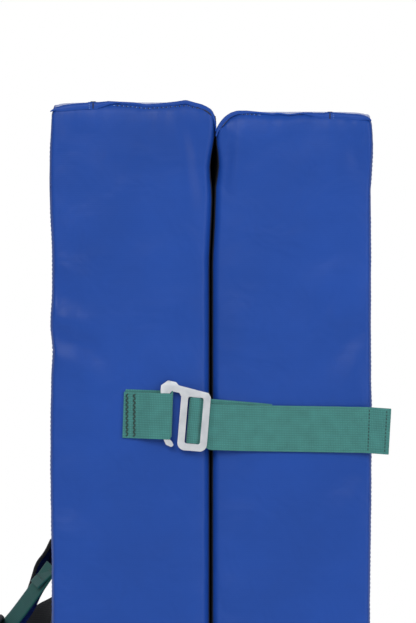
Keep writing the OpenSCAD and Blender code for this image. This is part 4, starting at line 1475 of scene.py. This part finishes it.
class MAT_OT_harness(bpy.types.Operator):
    """Makes the harness: its yoke, padded shoulder straps, lifters, lower straps and foot patches"""
    bl_idname = "mesh.mat_harness"
    bl_label = "Harness"

    def execute(self, context):
        self.patch("harness_yoke", "yoke_panel")
        for side in SIDES:
            self.pad(side)
            self.webbing(side)
            self.lifter(side)
            self.patch(f"{side}_foot_patch", f"{side}_foot_panel")
            for lock in ("lifter_lock", "lower_lock"):
                piece = copy_of_node(f"{side}_{lock}", f"{side}_{lock}_plastic")
                break_edges(piece, 0.6 * MM)
                dress(piece, "plastic", "carry_half", [f"{side}_{lock}"], smooth=40)
        return {"FINISHED"}

    def patch(self, node, name):
        """A panel of harness cloth, sewn flat on the base sheet with its edges turned under."""
        low, high = node_box(node)
        ys, zs = np.linspace(low.y, high.y, 40), np.linspace(low.z, high.z, 24)
        places = np.array([[(low.x + 0.55 * MM, y, z) for y in ys] for z in zs])
        wave = np.array([[noise.noise((y * 22, z * 22, 3)) for y in ys] for z in zs])
        places[:, :, 0] -= 0.25 * MM * np.abs(wave)
        piece = laid_cloth(name, places, 1.1 * MM)
        dress(piece, "harness", "carry_half", [node], smooth=60)
        x, hem = low.x - 0.2 * MM, 4 * MM
        rows = []
        for inset in (hem, 2 * hem):
            box = [(x, low.y + inset, low.z + inset), (x, high.y - inset, low.z + inset),
                   (x, high.y - inset, high.z - inset), (x, low.y + inset, high.z - inset)]
            rows += boxed(box, crossed="foot" in node and inset > hem)
        sewn = stitches(f"{name}_stitching", rows, (-1, 0, 0), 3.2 * MM, 2.4 * MM, 0.4 * MM)
        dress(sewn, "black_thread", "carry_half")

    def pad_line(self, side, lift=0.0):
        """The pad's middle line, lifted off it by a share of its thickness, the way out and its turn."""
        edges = np.array(PAD_EDGES[side], float)
        near, far = (np.column_stack([edges[:, k, 0], 0 * edges[:, k, 0], edges[:, k, 1]]) for k in (0, 1))
        lengths = distances((near + far) / 2)
        marks = np.linspace(0, lengths[-1], 92)
        near, far = (smooth_line(side_line, lengths[-1] / 600, rounds=2) for side_line in (near, far))
        near, far = (side_line[np.linspace(0, len(side_line) - 1, len(marks)).astype(int)]
                     for side_line in (near, far))
        middle = (near + far) / 2
        run = headings(middle)
        away = np.column_stack([-run[:, 2], 0 * run[:, 0], run[:, 0]])
        thick = harness().pad_thickness / MM * (0.42 + 0.58 * ease(marks, 25, 95))
        turn = (far - near) / 2
        return middle + away * (lift + (thick / 2 if lift else 0 * thick))[:, None], away, turn, thick

    def pad(self, side):
        """The padded strap: cloth outside, mesh lining inside and a bound edge all round."""
        settings = harness()
        middle, away, turn, thick = self.pad_line(side)
        sign = -1 if side == "left" else 1
        half_width = settings.pad_width / MM / 2 - 1.4
        sides = 40
        angle = np.linspace(0, 2 * math.pi, sides, endpoint=False)
        across = np.sign(np.cos(angle)) * np.abs(np.cos(angle)) ** 0.6
        height = np.sign(np.sin(angle)) * np.abs(np.sin(angle)) ** 0.8
        marks = np.linspace(0, 1, len(middle))
        narrow = half_width * (1 - 0.1 * ease(marks, 0.85, 1.0)) * (0.93 + 0.07 * ease(marks, 0, 0.06))
        rings = []
        for mark, place, out, wide, tilt, full in zip(marks, middle, away, narrow, turn, thick):
            # Both ends thin down over a twentieth of the length
            end = min(1, (mark + 0.004) / 0.05, (1.004 - mark) / 0.05)
            fat = (0.34 + 0.66 * math.sqrt(max(0, end * (2 - end)))) * full / 2
            fat *= 1 + 0.06 * noise.noise((mark * 14, sign, 0))
            ring = place + np.outer(height, out) * fat + np.outer(across, tilt)
            ring[:, 1] = across * wide
            rings.append(shoulder(side, ring))
        rings = np.array(rings)
        piece = closed_loft(f"{side}_pad", rings)
        piece.data.materials.append(material("harness"))
        piece.data.materials.append(material("lining"))
        for face in piece.data.polygons:
            level = [height[v % sides] for v in face.vertices if v < len(rings) * sides]
            face.material_index = int(np.mean(level) < -0.01)
        modify(piece, "SUBSURF", levels=1, render_levels=1)
        dress(piece, "harness", "carry_half", [f"{side}_shoulder_pad"], smooth=60)
        for way, name in ((-1, "front"), (1, "rear")):
            edge = middle + turn * way
            edge[:, 1] = way * (narrow + 0.3)
            bound = bead(f"{side}_{name}_binding", shoulder(side, edge), 1.9 * MM, sides=10, flat=0.8,
                         up=shoulder_across(side))
            dress(bound, "binding", "carry_half", smooth=60)

    def webbing(self, side):
        """The webbing on the pad, and the lower strap with its spare end."""
        settings = harness()
        width, t = settings.strap_width, settings.strap_thickness
        across = shoulder_across(side)
        line, _, turn, _ = self.pad_line(side, t / MM / 2 + 0.2)
        first = 30 if side == "left" else 44
        share = settings.strap_width / settings.pad_width
        wide = shoulder(side, line + turn * share + [0, width / MM / 2, 0]) - shoulder(side, line)
        piece = strip(f"{side}_pad_strap", shoulder(side, line)[first:], wide[first:], width, t)
        dress(piece, "webbing", "carry_half", [f"{side}_pad_webbing"])
        raised, away, turn, _ = self.pad_line(side, t / MM + 0.35)
        rows, ways = [], []
        for at in np.linspace(first + 3, len(raised) - 5, 6).astype(int):
            for k in (at, at + 1):
                tilt = turn[k] * 0.34
                rows.append(shoulder(side, [raised[k] - tilt - [0, 11, 0], raised[k] + tilt + [0, 11, 0]]))
                ways.append(shoulder(side, [raised[k] + away[k]])[0] - shoulder(side, [raised[k]])[0])
        sewn = stitches(f"{side}_bar_tacks", rows, ways, 1.5 * MM, 1.6 * MM, 0.5 * MM)
        dress(sewn, "thread", "carry_half")
        for node, name in ((f"{side}_lower_strap", "lower_webbing"), (f"{side}_lower_tail", "spare_end")):
            low, high = node_box(node)
            middle = (low.y + high.y) / 2
            sign = -1 if side == "left" else 1
            swing = math.sin(SPREAD) * (high.z - low.z) / 2 * sign
            if "tail" in node:
                points = smooth_line([(high.x - t / 2, middle - swing, high.z),
                                      ((low.x + high.x) / 2 - 0.4 * MM, middle, (low.z + high.z) / 2),
                                      (low.x + t / 2, middle + swing, low.z)], 2 * MM)
            else:
                wall = half_box("carry")[0].x
                points = rounded_line([tuple(v / MM for v in p) for p in (
                    (low.x + t, middle - swing, high.z),
                    (wall - 2.3 * MM, middle + 0.86 * swing, low.z + 34 * MM),
                    (wall - 2.3 * MM, middle + swing, low.z))], 12)
            piece = strip(f"{side}_{name}", points, across, width, t)
            dress(piece, "webbing", "carry_half", [node])

    def lifter(self, side):
        """The load lifter: sewn double at the yoke and run out to its lock beside the pad."""
        settings = harness()
        sign = -1 if side == "left" else 1
        width, t = settings.strap_width, settings.strap_thickness
        y = sign * 49.3
        # How far the strap hangs below its straight run, in mm: less near the lock
        sag = 8.5
        points = [(1.4, y, -24 - sag), (6, y, -30 - sag), (13.3, y, -41 - sag), (22, y, -53 - sag),
                  (32, y, -66.5 - sag), (38, y, -74 - 0.95 * sag), (43, y, -80 - 0.7 * sag)]
        line = shoulder(side, smooth_line(points, 1.2))
        run = Vector((42, 0, -52)).normalized()
        # It is turned about its own length, its outer face a little towards the closing side
        past = Vector((-run.z, 0, run.x))
        turned = np.array([-past.x, 0, past.z]) * 0.46 + np.array([0, 0.89, 0])
        across = np.tile(turned, (len(line), 1))
        piece = strip(f"{side}_lifter_webbing", line, across, width, t)
        dress(piece, "lifter_webbing", "carry_half", [f"{side}_lifter"])
        # Its sewn end lies over it at a flatter slope
        flatter = [(1.0, y, -34), (3.3, y, -36), (9, y, -41), (14, y, -46), (16.5, y, -48.8)]
        doubled = even_line(flatter, 2)[0]
        edgeways = np.array([-past.x, 0, past.z]) * 0.34 + np.array([0, 0.94, 0])
        piece = strip(f"{side}_lifter_double", shoulder(side, doubled), edgeways, width, t + 0.1 * MM)
        dress(piece, "lifter_webbing", "carry_half")
        rows = []
        for at in (2, 7):
            p = doubled[at] + np.array([0.6, 0, 0.8]) * 1.1
            rows.append(np.array([shoulder(side, [p])[0] + edgeways * off * MM for off in (-11, 11)]))
        sewn = stitches(f"{side}_lifter_stitching", rows, (-0.78, 0, 0.62), 2.4 * MM, 2 * MM, 0.4 * MM)
        dress(sewn, "thread", "carry_half")


class MAT_OT_stage(bpy.types.Operator):
    """Sets the floor, the lights and the camera"""
    bl_idname = "mesh.mat_stage"
    bl_label = "Stage"

    def execute(self, context):
        settings = context.scene.mat_stage
        scene = context.scene
        scene.view_settings.view_transform = "Standard"
        middle = Vector((FOLD - 2.9 * MM, FRONT, TOP - 173 * MM))
        data = bpy.data.cameras.new("camera")
        camera = bpy.data.objects.new("camera", data)
        scene.collection.objects.link(camera)
        camera.location = middle - Vector((0, settings.camera_distance, 0))
        camera.rotation_euler = (math.pi / 2, 0, 0)
        data.lens = data.sensor_width * settings.camera_distance / settings.view_height
        data.clip_end = 60
        scene.camera = camera
        bpy.ops.object.select_all(action="DESELECT")
        bpy.ops.mesh.primitive_plane_add(size=14, location=(0, 0, -0.2 * MM))
        floor = in_place(new_piece("floor"))
        pale, tree, shader = start_material("pale_floor", Roughness=0.9)
        shader.inputs["Base Color"].default_value = linear(settings.backdrop)
        white = add(tree, "ShaderNodeEmission", {"Color": (1, 1, 1, 1), "Strength": 1.0})
        path = add(tree, "ShaderNodeLightPath")
        seen = add(tree, "ShaderNodeMath", {0: path.outputs["Is Glossy Ray"],
                                            1: path.outputs["Is Transmission Ray"]}, operation="MAXIMUM")
        glow = add(tree, "ShaderNodeMath", {0: path.outputs["Is Camera Ray"], 1: 0.36}, operation="MULTIPLY")
        pale_light = add(tree, "ShaderNodeEmission", {"Color": (1, 1, 1, 1), "Strength": glow.outputs[0]})
        lit = add(tree, "ShaderNodeAddShader", {0: shader.outputs[0], 1: pale_light.outputs[0]})
        mix = add(tree, "ShaderNodeMixShader", {0: seen.outputs[0], 1: lit.outputs[0],
                                                2: white.outputs[0]})
        tree.links.new(mix.outputs[0], tree.nodes["Material Output"].inputs[0])
        floor.data.materials.append(pale)
        world = bpy.data.worlds.new("studio")
        scene.world = world
        world.use_nodes = True
        tree = world.node_tree
        tree.nodes.clear()
        path = add(tree, "ShaderNodeLightPath")
        seen = add(tree, "ShaderNodeMath", {0: path.outputs["Is Camera Ray"],
                                            1: path.outputs["Is Transmission Ray"]}, operation="MAXIMUM")
        fill = add(tree, "ShaderNodeBackground", {"Color": (0.86, 0.9, 1.0, 1), "Strength": 0.36})
        seen_white = add(tree, "ShaderNodeBackground", {"Color": (1, 1, 1, 1), "Strength": 1.0})
        mix = add(tree, "ShaderNodeMixShader", {0: seen.outputs[0], 1: fill.outputs[0],
                                                2: seen_white.outputs[0]})
        add(tree, "ShaderNodeOutputWorld", {"Surface": mix.outputs[0]})
        aim = Vector((FOLD, 0, 0.7))
        for name, place, size, power in (
                ("key", (-1.0, -3.6, 2.9), 2.0, settings.key_power),
                ("side", (2.4, -2.6, 1.6), 1.8, 0.4 * settings.key_power),
                ("rear", (0.4, 3.0, 2.6), 2.5, 0.6 * settings.key_power)):
            light = bpy.data.lights.new(name, "AREA")
            light.size, light.energy = size, power
            lamp = bpy.data.objects.new(name, light)
            scene.collection.objects.link(lamp)
            lamp.location = place
            lamp.rotation_euler = (aim - Vector(place)).to_track_quat("-Z", "Y").to_euler()
        return {"FINISHED"}


class MAT_PT_panel(bpy.types.Panel):
    """Lists the pieces of the mat in the sidebar"""
    bl_idname = "MAT_PT_panel"
    bl_label = "Rescue Mat"
    bl_space_type = "VIEW_3D"
    bl_region_type = "UI"
    bl_category = "Rescue Mat"

    def draw(self, context):
        for item in CLASSES:
            if issubclass(item, bpy.types.Operator):
                self.layout.operator(item.bl_idname)
        for group in (context.scene.mat_cover, context.scene.mat_straps, context.scene.mat_harness,
                      context.scene.mat_stage):
            for key in group.bl_rna.properties.keys():
                if key not in ("rna_type", "name"):
                    self.layout.prop(group, key)


CLASSES = [MatCoverSettings, MatStrapSettings, MatHarnessSettings, MatStageSettings, MAT_OT_stage,
           MAT_OT_covers, MAT_OT_end_seams, MAT_OT_hinge, MAT_OT_closures, MAT_OT_handles, MAT_OT_zips,
           MAT_OT_harness, MAT_PT_panel]


def register():
    for item in CLASSES:
        bpy.utils.register_class(item)
    bpy.types.Scene.mat_cover = bpy.props.PointerProperty(type=MatCoverSettings)
    bpy.types.Scene.mat_straps = bpy.props.PointerProperty(type=MatStrapSettings)
    bpy.types.Scene.mat_harness = bpy.props.PointerProperty(type=MatHarnessSettings)
    bpy.types.Scene.mat_stage = bpy.props.PointerProperty(type=MatStageSettings)


def unregister():
    for name in ("mat_cover", "mat_straps", "mat_harness", "mat_stage"):
        delattr(bpy.types.Scene, name)
    for item in reversed(CLASSES):
        bpy.utils.unregister_class(item)


def main():
    """Makes every piece in order."""
    register()
    for item in CLASSES:
        if issubclass(item, bpy.types.Operator):
            getattr(bpy.ops.mesh, item.bl_idname.split(".")[1])()


if __name__ == "__main__":
    main()
